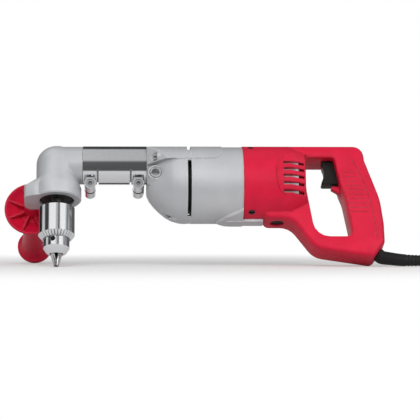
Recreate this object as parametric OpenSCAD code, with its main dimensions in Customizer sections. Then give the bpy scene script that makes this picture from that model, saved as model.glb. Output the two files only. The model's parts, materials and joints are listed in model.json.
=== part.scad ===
// Right-angle drill: D-handle motor unit, swivelling right-angle head, key chuck, side handle, mains lead.
// The tool frame has X along the drive tube, the chuck axis at X = 0 and the tube axis at Z = 0.
// stand() leans the tool back on its three resting points: jaw tip, side handle rim and handle heel.

/* [Chuck] */
// Radius of the toothed sleeve
chuck_r = 21.5; // [20:0.5:25]
// Length of the sleeve above its teeth
chuck_sleeve_l = 34.5; // [30:0.5:40]
// Drop from the tube axis to the top of the sleeve
chuck_top = 56; // [53:0.5:62]
// Radius of the chuck nose below the sleeve
chuck_nose_r = 15.5; // [14:0.5:17]
// Drop from the tube axis to the closed jaw tips
tip_drop = 129; // [126:0.5:136]
// Radius of the closed jaw tips
tip_r = 3; // [2.5:0.1:4]
// Radius of one jaw rod
jaw_r = 3.5; // [3:0.1:3.8]
// Slope of the jaws against the chuck axis
jaw_angle = 12; // [10:0.5:12.5]
// How far each jaw moves out when the chuck opens
jaw_open = 5.7; // [4:0.1:5.8]
// Teeth around the sleeve
sleeve_teeth = 32; // [24:1:40]
// Radius of a key hole
key_hole_r = 3.2; // [2.5:0.1:3.6]

/* [Right-angle head] */
// Radius of the upright arm
head_r = 24.6; // [23:0.2:28]
// Radius of the level arm
arm_r = 22.6; // [21:0.2:24]
// Length of the level arm, from the chuck axis to the sleeve
head_arm = 30.7; // [28:0.1:36]
// Radius of the ring at the bottom
ring_r = 29.2; // [27:0.2:34]
// Height of the ring
ring_h = 15; // [12:0.5:18]
// Drop from the tube axis to the ring's lower face
ring_drop = 46; // [44:0.5:50]
// Rounding of the elbow
elbow_r = 22; // [14:0.5:22.5]

/* [Coupling sleeve] */
// Outer radius of the sleeve
tube_r = 23.2; // [22:0.2:26]
// Length of the sleeve
tube_l = 76; // [70:1:90]
// Wall of the sleeve
tube_wall = 3.6; // [2:0.1:4]
// Radius of a clamp barrel
clamp_r = 7; // [6:0.2:8]
// Length of a clamp barrel
clamp_l = 32; // [26:1:40]
// Distance of each clamp from its end of the sleeve
clamp_inset = 8.6; // [7:0.2:14]
// Width of the clamp slit
slit_w = 3; // [1.5:0.1:4]
// Shank radius of a clamp screw
clamp_screw_r = 3; // [2.5:0.1:3.5]

/* [Gear case] */
// Radius of the gear case and motor housing
case_r = 46; // [45:0.5:52]
// Length of the gear case
case_l = 48; // [47:1:56]
// Drop from the tube axis to the motor axis
motor_drop = 26; // [25:0.1:28]
// Wall of the castings
case_wall = 4; // [3:0.1:5]
// Height of the pad on top
pad_h = 0.8; // [0.4:0.1:1.5]
// Width of the vent gap
vent_gap = 4.4; // [3:0.1:6]
// Thread radius of the side handle sockets
socket_r = 5; // [4:0.1:6]

/* [Gears] */
// Teeth on the armature pinion
motor_teeth = 8; // [8:1:9]
// Teeth on the countershaft gear
counter_teeth = 42; // [41:1:43]
// Module of the first stage
motor_module = 0.8; // [0.78:0.01:0.82]
// Teeth on the countershaft pinion
second_teeth = 9; // [9:1:10]
// Teeth on the spindle gear
spindle_teeth = 28; // [27:1:29]
// Module of the second stage
second_module = 1; // [0.98:0.01:1.02]
// Teeth on the bevel pinion
bevel_small = 14; // [13:1:15]
// Teeth on the bevel gear
bevel_large = 21; // [20:1:22]
// Module of the bevel pair
bevel_module = 1.5; // [1.4:0.05:1.55]
// Width of the spur gears
gear_w = 10; // [8:0.5:11]

/* [Motor] */
// Length of the motor housing
housing_l = 61.6; // [58:0.2:80]
// Radius of the armature core
core_r = 17; // [15:0.5:18]
// Length of the laminations
core_l = 36; // [30:1:37]
// Radius of the commutator
commutator_r = 12; // [10:0.5:14]
// Radius of the fan
fan_r = 34; // [28:1:34]
// Radius of a brush holder tube
holder_r = 6.5; // [6:0.1:8]

/* [D-handle] */
// Length of the shell from the motor housing to the heel
shell_l = 167; // [164:1:180]
// Half thickness of the grip
grip_half = 20; // [18:0.5:24]
// Rounding of the grip's edges
grip_round = 6; // [4:0.5:6.5]
// Rounding of the opening's edges
opening_round = 2.5; // [1:0.1:2.8]
// Wall of the shells
shell_wall = 3; // [2:0.1:3.5]
// Height of the handle above the tube axis
shell_top = 18.4; // [17:0.1:20.5]
// Length of the finger opening at its top
opening_l = 51.5; // [47:0.5:52]
// Drop from the tube axis to the opening's floor
opening_drop = 98.5; // [90:0.5:99]
// Vent slots in each shell
vent_count = 5; // [3:1:6]
// Height of a vent slot
vent_h = 3.4; // [2:0.1:4]
// Half width of the trigger
trigger_half = 8; // [7:0.5:11]
// Travel of the trigger
trigger_travel = 7; // [4:0.5:7.5]

/* [Side handle] */
// Distance from the tool's mid plane to the side handle's far rim
side_reach = 168; // [150:1:185]
// Radius of the far rim
rim_r = 21.5; // [19:0.5:25]
// Radius of the hand guard
guard_r = 33; // [28:0.5:36]
// Radius of the grip at its waist
waist_r = 13.2; // [12:0.2:15]
// Thread radius of the stud
stud_r = 5; // [4:0.1:5.5]

/* [Mains lead] */
// Diameter of the cord
cord_d = 9; // [7:0.5:10]
// Pitch of the coiled turns
coil_pitch = 9.6; // [9.5:0.1:11]
// Outer radius of the coil, at the cord's middle
coil_r = 70; // [66:1:76]
// Turns in the coil
coil_turns = 6.5; // [4.5:1:6.5]

/* [Hidden] */
$fn = 64;
// Running clearance of a shaft in its bearing
running = 0.03;
// Clearance of pieces that turn or slide past each other
clear = 0.4;
// A little more than nothing, for cuts that pass right through
over = 1;

// Stations along the tube axis
tube_x = head_arm + 0.3;
tube_end = tube_x + tube_l;
case_x = tube_end;
case_end = case_x + case_l;
housing_x = case_end + vent_gap;
housing_end = housing_x + housing_l;
shell_x = housing_end;
shell_end = shell_x + shell_l;
tube_bore = tube_r - tube_wall;
spigot_fit = 0.05;
spigot_end = tube_x + tube_l * 0.46;
nose_x = tube_end - tube_l * 0.46;

// Gear layout: the countershaft stands where both centre distances meet
first_a = motor_module * (motor_teeth + counter_teeth) / 2;
second_a = second_module * (second_teeth + spindle_teeth) / 2;
counter_z = -(motor_drop * motor_drop + second_a * second_a - first_a * first_a) / (2 * motor_drop);
counter_y = sqrt(second_a * second_a - counter_z * counter_z);
first_angle = atan2(counter_z + motor_drop, counter_y);
second_angle = atan2(-counter_z, -counter_y);
plate_t = 8;
plate_x = case_end - plate_t;
first_x = plate_x - 2 - gear_w;
second_x = first_x - 2 - gear_w;
web_x = second_x - 2;

// Bevel layout: both cones meet where the axes cross
bevel_small_r = bevel_module * bevel_small / 2;
bevel_large_r = bevel_module * bevel_large / 2;
bevel_small_cone = atan(bevel_small / bevel_large);
bevel_large_cone = 90 - bevel_small_cone;
bevel_face = 6;
pinion_bearing_x = bevel_large_r + 2.8;
pinion_bearing_w = 8;
pinion_bearing_r = 13;
pinion_shaft_r = 6;
lower_bearing_r = 17;
lower_bearing_w = 11;
lower_bearing_z = -ring_drop + 4.5;
chuck_shaft_r = 8;
top_journal_r = 5;
head_cave_r = head_r - 4.4;

// Motor layout
core_x = housing_x + 20;
commutator_l = 18;
bell_wall = 3;
bell_r = case_r - 5;
brush_x = housing_end + 41;
commutator_x = brush_x - commutator_l / 2;
bell_end = brush_x + 24;
shaft_r = 5;
front_bearing_r = 11;
rear_bearing_r = 10;
rear_bearing_w = 8;
rear_bearing_x = bell_end - rear_bearing_w - 3;
fan_x = case_end + 0.6;
fan_w = 8;
fan_rim = 3.6;
keel_half = 7;
keel_drop = motor_drop + case_r + 3.4;
keel_x = housing_end - 20;
keel_end = housing_end + 24;

// Chuck layout: Z runs down from the tube axis
chuck_bevel = 5.5;
sleeve_low = -chuck_top - chuck_sleeve_l;
nut_low = sleeve_low - 1;
nut_high = nut_low + 5;
sleeve_wall = 1.6;
chuck_body_r = chuck_r - sleeve_wall - 1.3;
nose_low = -tip_drop + 14;
jaw_l = 40;
jaw_offset = 2;
jaw_travel = jaw_open / sin(jaw_angle);
jaw_gap = 0.1;

// Side handle layout
side_x = -31;
lug_left = -38.5;
lug_half_near = 15;
lug_back = 26;
side_z = -ring_drop + ring_h / 2;
guard_y = 41;

// The stance: a line from the jaw tip under the side handle's far rim gives the lean
lean = atan((tip_drop + side_z - rim_r) / (side_reach - tip_r));
tube_height = tip_drop * cos(lean) + tip_r * sin(lean);
heel_x = shell_end - 14.4;
tail_x = shell_x + 0.502 * shell_l;
heel_rise = [tail_x - heel_x, 11];
heel_back = [shell_end - heel_x, 19];
heel_corner = 7;
heel_low = min([for (p = corner_arc(heel_rise, [0, 0], heel_back, heel_corner, 4)) p[1]]);
edge_levels = [0, 30, 60, 90];
edge_drops = [for (a = edge_levels) grip_edge(a)[0] * sin(lean) - grip_edge(a)[1] * cos(lean)];
heel_z = (max(edge_drops) - tube_height) / cos(lean) - heel_low;
// Place on the rounded edge of the grip: distance from the mid plane, and rise above the edge's lowest line
function grip_edge(a) = [grip_half - grip_round + grip_round * sin(a), grip_round * (1 - cos(a))];

// The origin lies under the middle of the tool, without its lead
low_x = min(lug_left, side_x - guard_r);
origin_x = (low_x + shell_end) / 2;
side_far = side_reach + 2;
near_edges = [for (a = edge_levels)
    -grip_edge(a)[0] * cos(lean) + (heel_z + heel_low + grip_edge(a)[1]) * sin(lean)];
near_y = min(near_edges);
far_y = side_far * cos(lean) + (side_z + rim_r - 2) * sin(lean);
origin_y = (near_y + far_y) / 2;

// Places a piece of the tool frame on the ground
module stand() {
    translate([-origin_x, -origin_y, tube_height]) rotate([-lean, 0, 0]) children();
}

// A tool-frame point on the ground
function ground(p) = [
    p[0] - origin_x,
    p[1] * cos(lean) + p[2] * sin(lean) - origin_y,
    -p[1] * sin(lean) + p[2] * cos(lean) + tube_height,
];

// A cylinder along X, from one station to another, around an axis at y and z
module rod(r, from, to, y = 0, z = 0) {
    translate([from, y, z]) rotate([90, 0, 90]) cylinder(r = r, h = to - from);
}

// A cylinder along X on the motor axis
module motor_rod(r, from, to) {
    rod(r, from, to, 0, -motor_drop);
}

// A ring along X
module rod_ring(r, bore, from, to, y = 0, z = 0) {
    difference() {
        rod(r, from, to, y, z);
        rod(bore, from - over, to + over, y, z);
    }
}

// A cylinder along Z below the tube axis
module post(r, from, to) {
    translate([0, 0, from]) cylinder(r = r, h = to - from);
}

// A cylinder along Y
module cross_rod(r, from, to, x, z) {
    translate([x, from, z]) rotate([-90, 0, 0]) cylinder(r = r, h = to - from);
}

// A shape in X and Z, extruded along Y
module side_plate(from, to) {
    translate([0, to, 0]) rotate([90, 0, 0]) linear_extrude(to - from) children();
}

// Points of a polygon whose corners, given as [x, z, radius], are rounded
function unit(v) = v / norm(v);
function corner_arc(a, b, c, r, n) =
    let (u = unit(a - b), v = unit(c - b), half = acos(u * v) / 2, turn = cross(v, u) > 0 ? 1 : -1)
    let (d = r / tan(half), start = b + u * d, centre = b + unit(u + v) * r / sin(half))
    let (first = atan2(start[1] - centre[1], start[0] - centre[0]))
    [for (i = [0 : n]) centre + r * [cos(first + turn * (180 - 2 * half) * i / n),
                                     sin(first + turn * (180 - 2 * half) * i / n)]];
function rounded(corners, n = 4) =
    let (m = len(corners))
    [for (i = [0 : m - 1])
        let (a = corners[(i + m - 1) % m], b = corners[i], c = corners[(i + 1) % m])
        each corner_arc([a[0], a[1]], [b[0], b[1]], [c[0], c[1]], b[2], n)];

// A closed outline moved inwards by d, for points that run anticlockwise
function inset(points, d) =
    let (m = len(points))
    [for (i = [0 : m - 1])
        let (a = points[(i + m - 1) % m], b = points[i], c = points[(i + 1) % m])
        let (e = unit(b - a), f = unit(c - b), p = [-e[1], e[0]], q = [-f[1], f[0]])
        b + (p + q) * d / (1 + p * q)];

// Half of a plate in X and Z, from the mid plane out to y = half; its edge is rounded in, or out for r < 0
module half_plate(points, from, half, r, steps, beyond = 0) {
    m = len(points);
    size = abs(r);
    levels = [for (k = [0 : steps]) 90 * k / steps];
    rings = concat([[from, 0]], [for (a = levels) [half - size + size * sin(a), r * (1 - cos(a))]],
                   beyond > 0 ? [[half + beyond, r]] : []);
    cloud = [for (ring = rings) each [for (p = inset(points, ring[1])) [p[0], ring[0], p[1]]]];
    last = (len(rings) - 1) * m;
    sides = [for (k = [0 : len(rings) - 2]) for (i = [0 : m - 1])
        let (a = k * m + i, b = k * m + (i + 1) % m)
        each [[a, b, b + m], [a, b + m, a + m]]];
    polyhedron(cloud, concat([[for (i = [m - 1 : -1 : 0]) i]], sides, [[for (i = [0 : m - 1]) last + i]]));
}

// Half angle of an involute tooth at a radius, in degrees
pressure = 25;
function involute(r, base) = r <= base ? 0 : let (a = acos(base / r)) tan(a) * 180 / PI - a;
function tooth_half(r, pitch_r, teeth, slack) =
    90 / teeth - slack / pitch_r * 90 / PI + involute(pitch_r, pitch_r * cos(pressure))
    - involute(r, pitch_r * cos(pressure));

// A ring of teeth whose flanks are given as [radius, half angle], from root to tip
function tooth_ring(teeth, places) =
    [for (t = [0 : teeth - 1]) each concat(
        [for (p = places) let (a = 360 * t / teeth - p[1]) p[0] * [cos(a), sin(a)]],
        [for (k = [len(places) - 1 : -1 : 0])
            let (p = places[k], a = 360 * t / teeth + p[1]) p[0] * [cos(a), sin(a)]])];

// Outline of a spur gear with stubby teeth and some backlash
add_share = 0.8;
ded_share = 1.1;
backlash = 0.16;
flank_steps = 3;
function gear_points(teeth, size) =
    let (pitch_r = size * teeth / 2, root = pitch_r - ded_share * size, tip = pitch_r + add_share * size)
    let (low = max(root, pitch_r * cos(pressure)))
    let (levels = concat(low > root ? [root] : [],
                         [for (k = [0 : flank_steps]) low + (tip - low) * k / flank_steps]))
    let (places = [for (r = levels) [r, tooth_half(r, pitch_r, teeth, backlash)]])
    tooth_ring(teeth, places);

// A spur gear along X with a many-sided bore that seats on its shaft
module spur(teeth, size, from, width, y, z, turn, bore) {
    translate([from, y, z]) rotate([90, 0, 90]) rotate(turn) difference() {
        linear_extrude(width) polygon(gear_points(teeth, size));
        translate([0, 0, -over]) cylinder(r = bore / cos(15), h = width + 2 * over, $fn = 12);
    }
}

// Outline of a bevel gear on the plane of its large end, from the teeth developed on its back cone
bevel_slack = 0.3;
function bevel_points(teeth, size, cone, reach) =
    let (pitch_r = size * teeth / 2, back_r = pitch_r / cos(cone), back_teeth = teeth / cos(cone))
    let (root = back_r - 1.15 * size, tip = back_r + 0.75 * size, low = max(root, back_r * cos(pressure)))
    let (levels = concat(low > root ? [root] : [], [for (k = [0 : 2]) low + (tip - low) * k / 2]))
    let (places = [for (r = levels) [r * cos(cone) * reach / (reach - (r - back_r) * sin(cone)),
                                     tooth_half(r, back_r, back_teeth, bevel_slack) / cos(cone)]])
    tooth_ring(teeth, places);

// A bevel gear whose large end lies at Z = 0 and whose apex lies up at Z = reach
module bevel(teeth, size, cone, reach, bore) {
    height = bevel_face * cos(cone);
    difference() {
        linear_extrude(height, scale = (reach - height) / reach)
            polygon(bevel_points(teeth, size, cone, reach));
        translate([0, 0, -over]) cylinder(r = bore / cos(15), h = height + 2 * over, $fn = 12);
    }
}

// Rings of a tube along points, and the tube
function tube_ring(p, ahead, r, sides) =
    let (t = unit(ahead), side = unit(cross(t, [0, 0, 1])), up = cross(side, t))
    [for (i = [0 : sides - 1]) p + r * (cos(360 * i / sides) * side + sin(360 * i / sides) * up)];
module tube(points, radii, sides) {
    n = len(points);
    cloud = [for (i = [0 : n - 1])
        let (ahead = points[min(i + 1, n - 1)] - points[max(i - 1, 0)])
        each tube_ring(points[i], ahead, radii[i], sides)];
    faces = [for (i = [0 : n - 2]) for (j = [0 : sides - 1])
        let (a = i * sides + j, b = i * sides + (j + 1) % sides)
        each [[a, b + sides, b], [a, a + sides, b + sides]]];
    last = (n - 1) * sides;
    polyhedron(cloud, concat([[for (j = [0 : sides - 1]) j]], faces,
                             [[for (j = [sides - 1 : -1 : 0]) last + j]]));
}

// Gear case outline: a dome at its lower front, as [share of the case radius, distance from its front]
dome = [[0.305, 0], [0.435, 2.8], [0.576, 8], [0.717, 14.5], [0.848, 22], [0.943, 30], [0.989, 38], [1, 43]];

// The pad on top of the castings, seen from the side
pad_low = -9;
pad_end = housing_x + 37;
pad_front = 23;
module top_pad(from, to) {
    intersection() {
        motor_rod(case_r + pad_h, from, to);
        side_plate(-case_r - over, case_r + over) polygon(rounded([
            [case_x - 20, pad_low, 1], [pad_end, pad_low, 12],
            [pad_end, shell_top + 10, 1], [case_x - 20, shell_top + 10, 1],
        ]));
        translate([0, 0, -motor_drop]) linear_extrude(2 * case_r) polygon([
            [case_x - over, -pad_front], [case_x + 14, -pad_front - 14], [case_x + 30, -case_r - over],
            [housing_end, -case_r - over], [housing_end, case_r + over],
            [case_x + 30, case_r + over], [case_x + 14, pad_front + 14], [case_x - over, pad_front],
        ]);
    }
}

// The two arcs of the vent gap, and the notch between them on top
vent_high = -motor_drop + case_r * sin(18.6);
vent_low = -motor_drop - case_r * sin(75);
notch_low = -motor_drop + case_r * sin(43);
module vent_cut() {
    wide = 2 * (case_r + over);
    translate([case_end, -wide / 2, vent_low]) cube([vent_gap + over, wide, vent_high - vent_low]);
    translate([case_end, -wide / 2, notch_low]) cube([vent_gap + over, wide, case_r]);
}

// Long screws that hold the gear case to the housing, as [y, z, station of the head]
long_screw_r = 2.6;
long_head_r = 4.6;
long_boss_r = 5.4;
long_circle = case_r - long_boss_r - 0.2;
long_places = [
    for (turn = [145, 35]) [long_circle * cos(turn), long_circle * sin(turn) - motor_drop, case_x + 12],
    [0, -long_circle - motor_drop, case_x + 30],
];
long_reach = 14;

// Boss and spot face for a side handle on each cheek of the gear case
socket_x = case_x + 10;
socket_z = -22;
socket_face = 31.5;
socket_depth = 11;
boss_r = 8.6;
boss_foot_r = 14;
boss_foot = 20;

// A shape turned about the motor axis, from [radius, station] pairs
module motor_turn(profile) {
    translate([0, 0, -motor_drop]) rotate([0, 90, 0]) rotate_extrude() polygon(profile);
}

// The dome's profile, for the outside and, drawn in by the wall, for the gear chamber
module case_dome(shrink, from) {
    to = case_end + vent_gap + (shrink > 0 ? over : 0);
    stations = [for (p = dome) [p[1], p[0]]];
    motor_turn(concat(
        [[0, from], [case_r * lookup(from - case_x, stations) - shrink, from]],
        [for (p = dome) if (case_x + p[1] > from) [case_r * p[0] - shrink, case_x + p[1]]],
        [[case_r - shrink, to], [0, to]]));
}

// One socket boss, which widens towards the case and ends flush with its front
module socket_boss() {
    intersection() {
        translate([socket_x, boss_foot, socket_z]) rotate([-90, 0, 0])
            cylinder(r1 = boss_foot_r, r2 = boss_r, h = socket_face - boss_foot);
        motor_rod(case_r, case_x, case_end);
    }
}

module gear_case() {
    color("silver") stand() difference() {
        union() {
            difference() {
                union() {
                    case_dome(0, case_x);
                    rod(arm_r, case_x, case_end);
                    top_pad(case_x, case_end + vent_gap);
                }
                case_dome(case_wall, second_x);
                // Seat of the bearing plate
                motor_rod(case_r - case_wall, plate_x, case_end + vent_gap + over);
            }
            rod(tube_bore - spigot_fit, nose_x, case_x + over);
            socket_boss();
            mirror([0, 1, 0]) socket_boss();
            for (p = long_places) rod(long_boss_r, p[2], case_end + vent_gap, p[0], p[1]);
        }
        // Spindle passage and its two bearing seats
        rod(9, nose_x - over, case_end);
        rod(spindle_bearing_r, nose_x - over, nose_x + spindle_bearing_w);
        rod(spindle_bearing_r, web_x + 1 - spindle_bearing_w, web_x + 2);
        // Countershaft bearing seat
        rod(counter_bearing_r, web_x - 4, web_x + 2, counter_y, counter_z);
        rod(counter_shaft_r + clear, web_x - 6, web_x + 2, counter_y, counter_z);
        // Room for both pairs of gears and the bearing plate
        rod(second_module * (spindle_teeth / 2 + 1.2), web_x + 1.5, plate_x);
        rod(second_module * (second_teeth / 2 + 2), web_x + 1.5, plate_x, counter_y, counter_z);
        rod(motor_module * (counter_teeth / 2 + 1.6), first_x - over, plate_x, counter_y, counter_z);
        vent_cut();
        // Threaded sockets and the spot faces round them
        for (turn = [0, 1]) mirror([0, turn, 0]) {
            cross_rod(socket_r, socket_face - socket_depth, socket_face + over, socket_x, socket_z);
            cross_rod(boss_r, socket_face, case_r + over, socket_x, socket_z);
        }
        for (p = long_places) {
            rod(long_screw_r, case_x, case_end + vent_gap + over, p[0], p[1]);
            rod(long_head_r + 0.4, case_x - over, p[2], p[0], p[1]);
        }
    }
}

// Bearings of the spindle, countershaft and armature
spindle_r = 7;
spindle_bearing_r = 11;
spindle_bearing_w = 9;
counter_shaft_r = 3.5;
counter_bearing_r = 7;
module spindle_bearings() {
    color("lightsteelblue") stand() {
        rod_ring(spindle_bearing_r, spindle_r + running, nose_x, nose_x + spindle_bearing_w);
        rod_ring(spindle_bearing_r, spindle_r + running, web_x + 1 - spindle_bearing_w, web_x + 1);
    }
}

module counter_bearings() {
    color("lightsteelblue") stand() {
        for (x = [web_x - 4, plate_x + 1])
            rod_ring(counter_bearing_r, counter_shaft_r + running, x, x + 5, counter_y, counter_z);
    }
}

module armature_bearings() {
    color("lightsteelblue") stand() {
        rod_ring(front_bearing_r, shaft_r + running, plate_x + 1, case_end - over, 0, -motor_drop);
        rod_ring(rear_bearing_r, shaft_r + running, rear_bearing_x, rear_bearing_x + rear_bearing_w,
                 0, -motor_drop);
    }
}

module bearing_plate() {
    color("gainsboro") stand() difference() {
        motor_rod(case_r - case_wall, plate_x, case_end);
        motor_rod(shaft_r + clear, plate_x - over, case_end + over);
        motor_rod(front_bearing_r, plate_x + 1, case_end + over);
        rod(counter_bearing_r, plate_x - over, plate_x + 6, counter_y, counter_z);
        for (p = long_places) rod(long_boss_r + 0.2, plate_x - over, case_end + over, p[0], p[1]);
    }
}

// Housing with a bell behind it that carries the brushes and the rear bearing
module motor_housing() {
    color("silver") stand() difference() {
        union() {
            difference() {
                union() {
                    motor_rod(case_r, housing_x, housing_end);
                    top_pad(housing_x, housing_end);
                    motor_rod(bell_r, housing_end - over, bell_end);
                    // Fairing under the housing, and the keel that runs on under the shells
                    intersection() {
                        motor_rod(case_r + 3.2, housing_x + 30, housing_end);
                        translate([0, 0, -keel_drop - over]) linear_extrude(motor_drop + 20) polygon([
                            [housing_x + 30, -1], [housing_x + 42, -14], [housing_end, -25],
                            [housing_end, 25], [housing_x + 42, 14], [housing_x + 30, 1],
                        ]);
                    }
                    translate([keel_x, -keel_half, -keel_drop])
                        cube([keel_end - keel_x, 2 * keel_half, keel_drop - motor_drop - bell_r + 4]);
                }
                motor_rod(case_r - case_wall, housing_x - over, housing_end - 4);
                motor_rod(bell_r - bell_wall, housing_x, rear_bearing_x - 3);
            }
            for (p = long_places) rod(long_boss_r, housing_x, housing_x + long_reach, p[0], p[1]);
        }
        motor_rod(rear_bearing_r, rear_bearing_x, rear_bearing_x + rear_bearing_w);
        motor_rod(shaft_r + 1.5, housing_x, bell_end - 2);
        for (side = [-1, 1]) brush_line(side) cylinder(r = holder_r, h = case_r + 9);
        for (p = long_places) rod(long_screw_r, housing_x - over, housing_x + long_reach - 2, p[0], p[1]);
        shell_screw_places() cylinder(r = shell_screw_r, h = case_r);
    }
}

module field_core() {
    color("dimgray") stand() difference() {
        motor_rod(case_r - case_wall, core_x, core_x + core_l);
        motor_rod(core_r + 0.8, core_x - over, core_x + core_l + over);
        for (side = [-1, 1]) for (up = [-1, 1])
            translate([core_x - over, side * (core_r + 8) - 4, up * 12 - motor_drop - 5])
                cube([core_l + 2 * over, 8, 10]);
    }
}

module field_coils() {
    color("peru") stand() for (side = [-1, 1]) difference() {
        translate([core_x - 5, side * (core_r + 8) - 4, -motor_drop - 17]) cube([core_l + 10, 8, 34]);
        translate([core_x - 0.5, side * (core_r + 8) - 5, -motor_drop - 7]) cube([core_l + 1, 10, 14]);
        motor_rod(core_r + 1, core_x - 10, core_x + core_l + 10);
    }
}

// Brush gear stands up and down at the commutator
holder_bore = 4.2;
brush_gap = 0.3;
module brush_line(side) {
    translate([brush_x, 0, -motor_drop]) rotate([side < 0 ? 180 : 0, 0, 0]) children();
}

module brush_holders() {
    color("goldenrod") stand() for (side = [-1, 1]) brush_line(side) difference() {
        translate([0, 0, commutator_r + 2.5]) cylinder(r = holder_r, h = bell_r - commutator_r - 2.5);
        cylinder(r = holder_bore, h = case_r);
    }
}

module carbon_brushes() {
    color("darkslategray") stand() for (side = [-1, 1]) brush_line(side)
        difference() {
            cylinder(r = holder_bore, h = commutator_r + 16);
            rotate([0, 90, 0]) cylinder(r = commutator_r + brush_gap, h = 30, center = true);
        }
}

cap_r = 8;
cap_high = case_r + 1;
module brush_caps() {
    color([0.1, 0.1, 0.1]) stand() for (side = [-1, 1]) brush_line(side) difference() {
        union() {
            translate([0, 0, commutator_r + 16]) cylinder(r = holder_bore, h = bell_r - commutator_r - 16);
            translate([0, 0, bell_r]) cylinder(r = cap_r, h = cap_high - bell_r);
        }
        translate([-cap_r, -0.8, cap_high - 1.6]) cube([2 * cap_r, 1.6, 3]);
    }
}

module slot_screw(head_r, head_l, shank_r, shank_l) {
    difference() {
        union() {
            cylinder(r = shank_r, h = shank_l + head_l);
            translate([0, 0, shank_l]) cylinder(r = head_r, h = head_l);
        }
        translate([-head_r - over, -0.7, shank_l + head_l - 1.5]) cube([2 * (head_r + over), 1.4, 2]);
    }
}

module gear_case_screws() {
    color("dimgray") stand() for (p = long_places)
        translate([housing_x + long_reach - 2, p[0], p[1]]) rotate([0, -90, 0])
            slot_screw(long_head_r, 4, long_screw_r, housing_x + long_reach - 2 - p[2]);
}

// Outline of the D-handle and of its finger opening, as rounded corners
heel_high = heel_z + heel_back[1];
cover_end = shell_x + 0.3353 * shell_l;
opening_x = shell_x + 0.4575 * shell_l;
opening_top = 2.7;
grip_x = opening_x + opening_l;
handle_outline = rounded([
    [keel_end, shell_top, 8], [keel_end, -keel_drop + 0.4, 8],
    [cover_end + 0.3, -keel_drop + 0.4, 22], [tail_x, heel_z + heel_rise[1], 25],
    [heel_x, heel_z, heel_corner], [shell_end, heel_high, 8], [shell_end, heel_high + 24, 60],
    [shell_end - 3.2, -50, 90], [shell_end - 19.8, 1, 14], [shell_end - 20.8, shell_top, 13],
]);
trigger_low = -27;
opening_outline = rounded([
    [opening_x, opening_top, 4], [opening_x - 0.5, -38, 60], [opening_x + 8.5, -opening_drop, 20],
    [grip_x + 2, -opening_drop, 7], [grip_x - 6.6, -46, 40], [grip_x - 11, -34, 40],
    [grip_x - 17.5, opening_top, 4],
]);

// Narrow finger rest under the trigger
lip_half = 4;
lip_x = grip_x - 20.5;
lip_top = trigger_low - 2;
lip_outline = rounded([
    [lip_x, lip_top, 1], [lip_x, lip_top - 2.5, 1], [grip_x - 10, lip_top - 9.5, 3],
    [grip_x - 5, lip_top - 17, 1], [grip_x - 7.5, lip_top, 0.5],
]);

// The cover round the motor bell, drawn in towards the finger opening
cover_tail_r = 36;
module cover() {
    motor_rod(case_r + pad_h, shell_x, cover_end);
    translate([cover_end, 0, -motor_drop]) rotate([0, 90, 0])
        cylinder(r1 = case_r + pad_h, r2 = cover_tail_r, h = opening_x + 4 - cover_end);
}

// Screws that hold the shells to the housing, by their angle from the top around the motor axis
shell_screw_x = shell_x + 10;
shell_screw_r = 2;
shell_screw_angles = [38, -38, 156, -156];
shell_head_r = 3.6;
module shell_screw_places() {
    for (p = shell_screw_angles)
        translate([shell_screw_x, 0, -motor_drop]) rotate([p, 0, 0]) children();
}

// Bolts across the grip that hold the two shells together, as [x, z]
bolt_places = [
    [grip_x - 4, 9.5], [shell_end - 13, -66],
    [grip_x + 10, -opening_drop - 13.5], [tail_x + 6, -opening_drop - 6],
];
bolt_r = 2;
bolt_head_r = 3.6;
bolt_boss_r = 4.6;

// Where the cord boot leaves the heel
chamfer_mid = [(heel_x + shell_end) / 2, 0, (heel_z + heel_high) / 2];
chamfer_out = unit([heel_high - heel_z, 0, -(shell_end - heel_x)]);
boot_r = 8.4;
boot_groove = 3;
module along_lead() {
    translate(chamfer_mid) rotate([0, 90 - asin(chamfer_out[2]), 0]) children();
}

vent_x = shell_x + 0.2814 * shell_l;
vent_l = 25;
vent_pitch = 8.6;
// One shell, drawn on the far side of the mid plane
module half_shell() {
    side_plate(0, lip_half) polygon(lip_outline);
    difference() {
        union() {
            difference() {
                union() {
                    intersection() {
                        cover();
                        translate([shell_x - over, 0, -200]) cube([shell_l, 100, 300]);
                    }
                    half_plate(handle_outline, 0, grip_half, grip_round, len(edge_levels) - 1);
                }
                motor_rod(bell_r + 0.3, shell_x - over, bell_end + 1);
                // Hollow of the grip, with walls all round
                difference() {
                    side_plate(-over, grip_half - shell_wall)
                        polygon(inset(handle_outline, shell_wall + 1.5));
                    side_plate(-2 * over, grip_half) polygon(inset(opening_outline, -shell_wall));
                }
            }
            for (p = bolt_places) cross_rod(bolt_boss_r, 0, grip_half - 1.5, p[0], p[1]);
        }
        half_plate(opening_outline, -over, grip_half, -opening_round, 2, case_r);
        // Slot of the trigger, the keel and the brush caps
        translate([grip_x - 30, -over, trigger_low - 0.4])
            cube([42, trigger_half + clear + over, opening_top - trigger_low + 1.6]);
        translate([shell_x - over, -over, -keel_drop - over])
            cube([keel_end - shell_x + over, keel_half + 0.2 + over, 12]);
        for (up = [-1, 1]) brush_line(up) cylinder(r = cap_r + 0.4, h = case_r + 20);
        shell_screw_places() {
            cylinder(r = shell_screw_r + 0.2, h = case_r + 5);
            translate([0, 0, case_r - 1.8]) cylinder(r = shell_head_r + 0.3, h = 10);
        }
        for (k = [0 : vent_count - 1])
            translate([vent_x, 20, -motor_drop - 6.5 + (k - (vent_count - 1) / 2) * vent_pitch - vent_h / 2])
                cube([vent_l, 80, vent_h]);
        // Seat of the cord boot, with a groove for its collar
        along_lead() {
            translate([0, 0, -16]) cylinder(r = boot_r, h = 30);
            translate([0, 0, -10 - boot_groove]) cylinder(r = boot_r + 2, h = boot_groove);
        }
    }
}

module handle_shell_near() {
    color("crimson") stand() difference() {
        mirror([0, 1, 0]) half_shell();
        for (p = bolt_places) cross_rod(bolt_r, -grip_half + 6, over, p[0], p[1]);
    }
}

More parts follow.
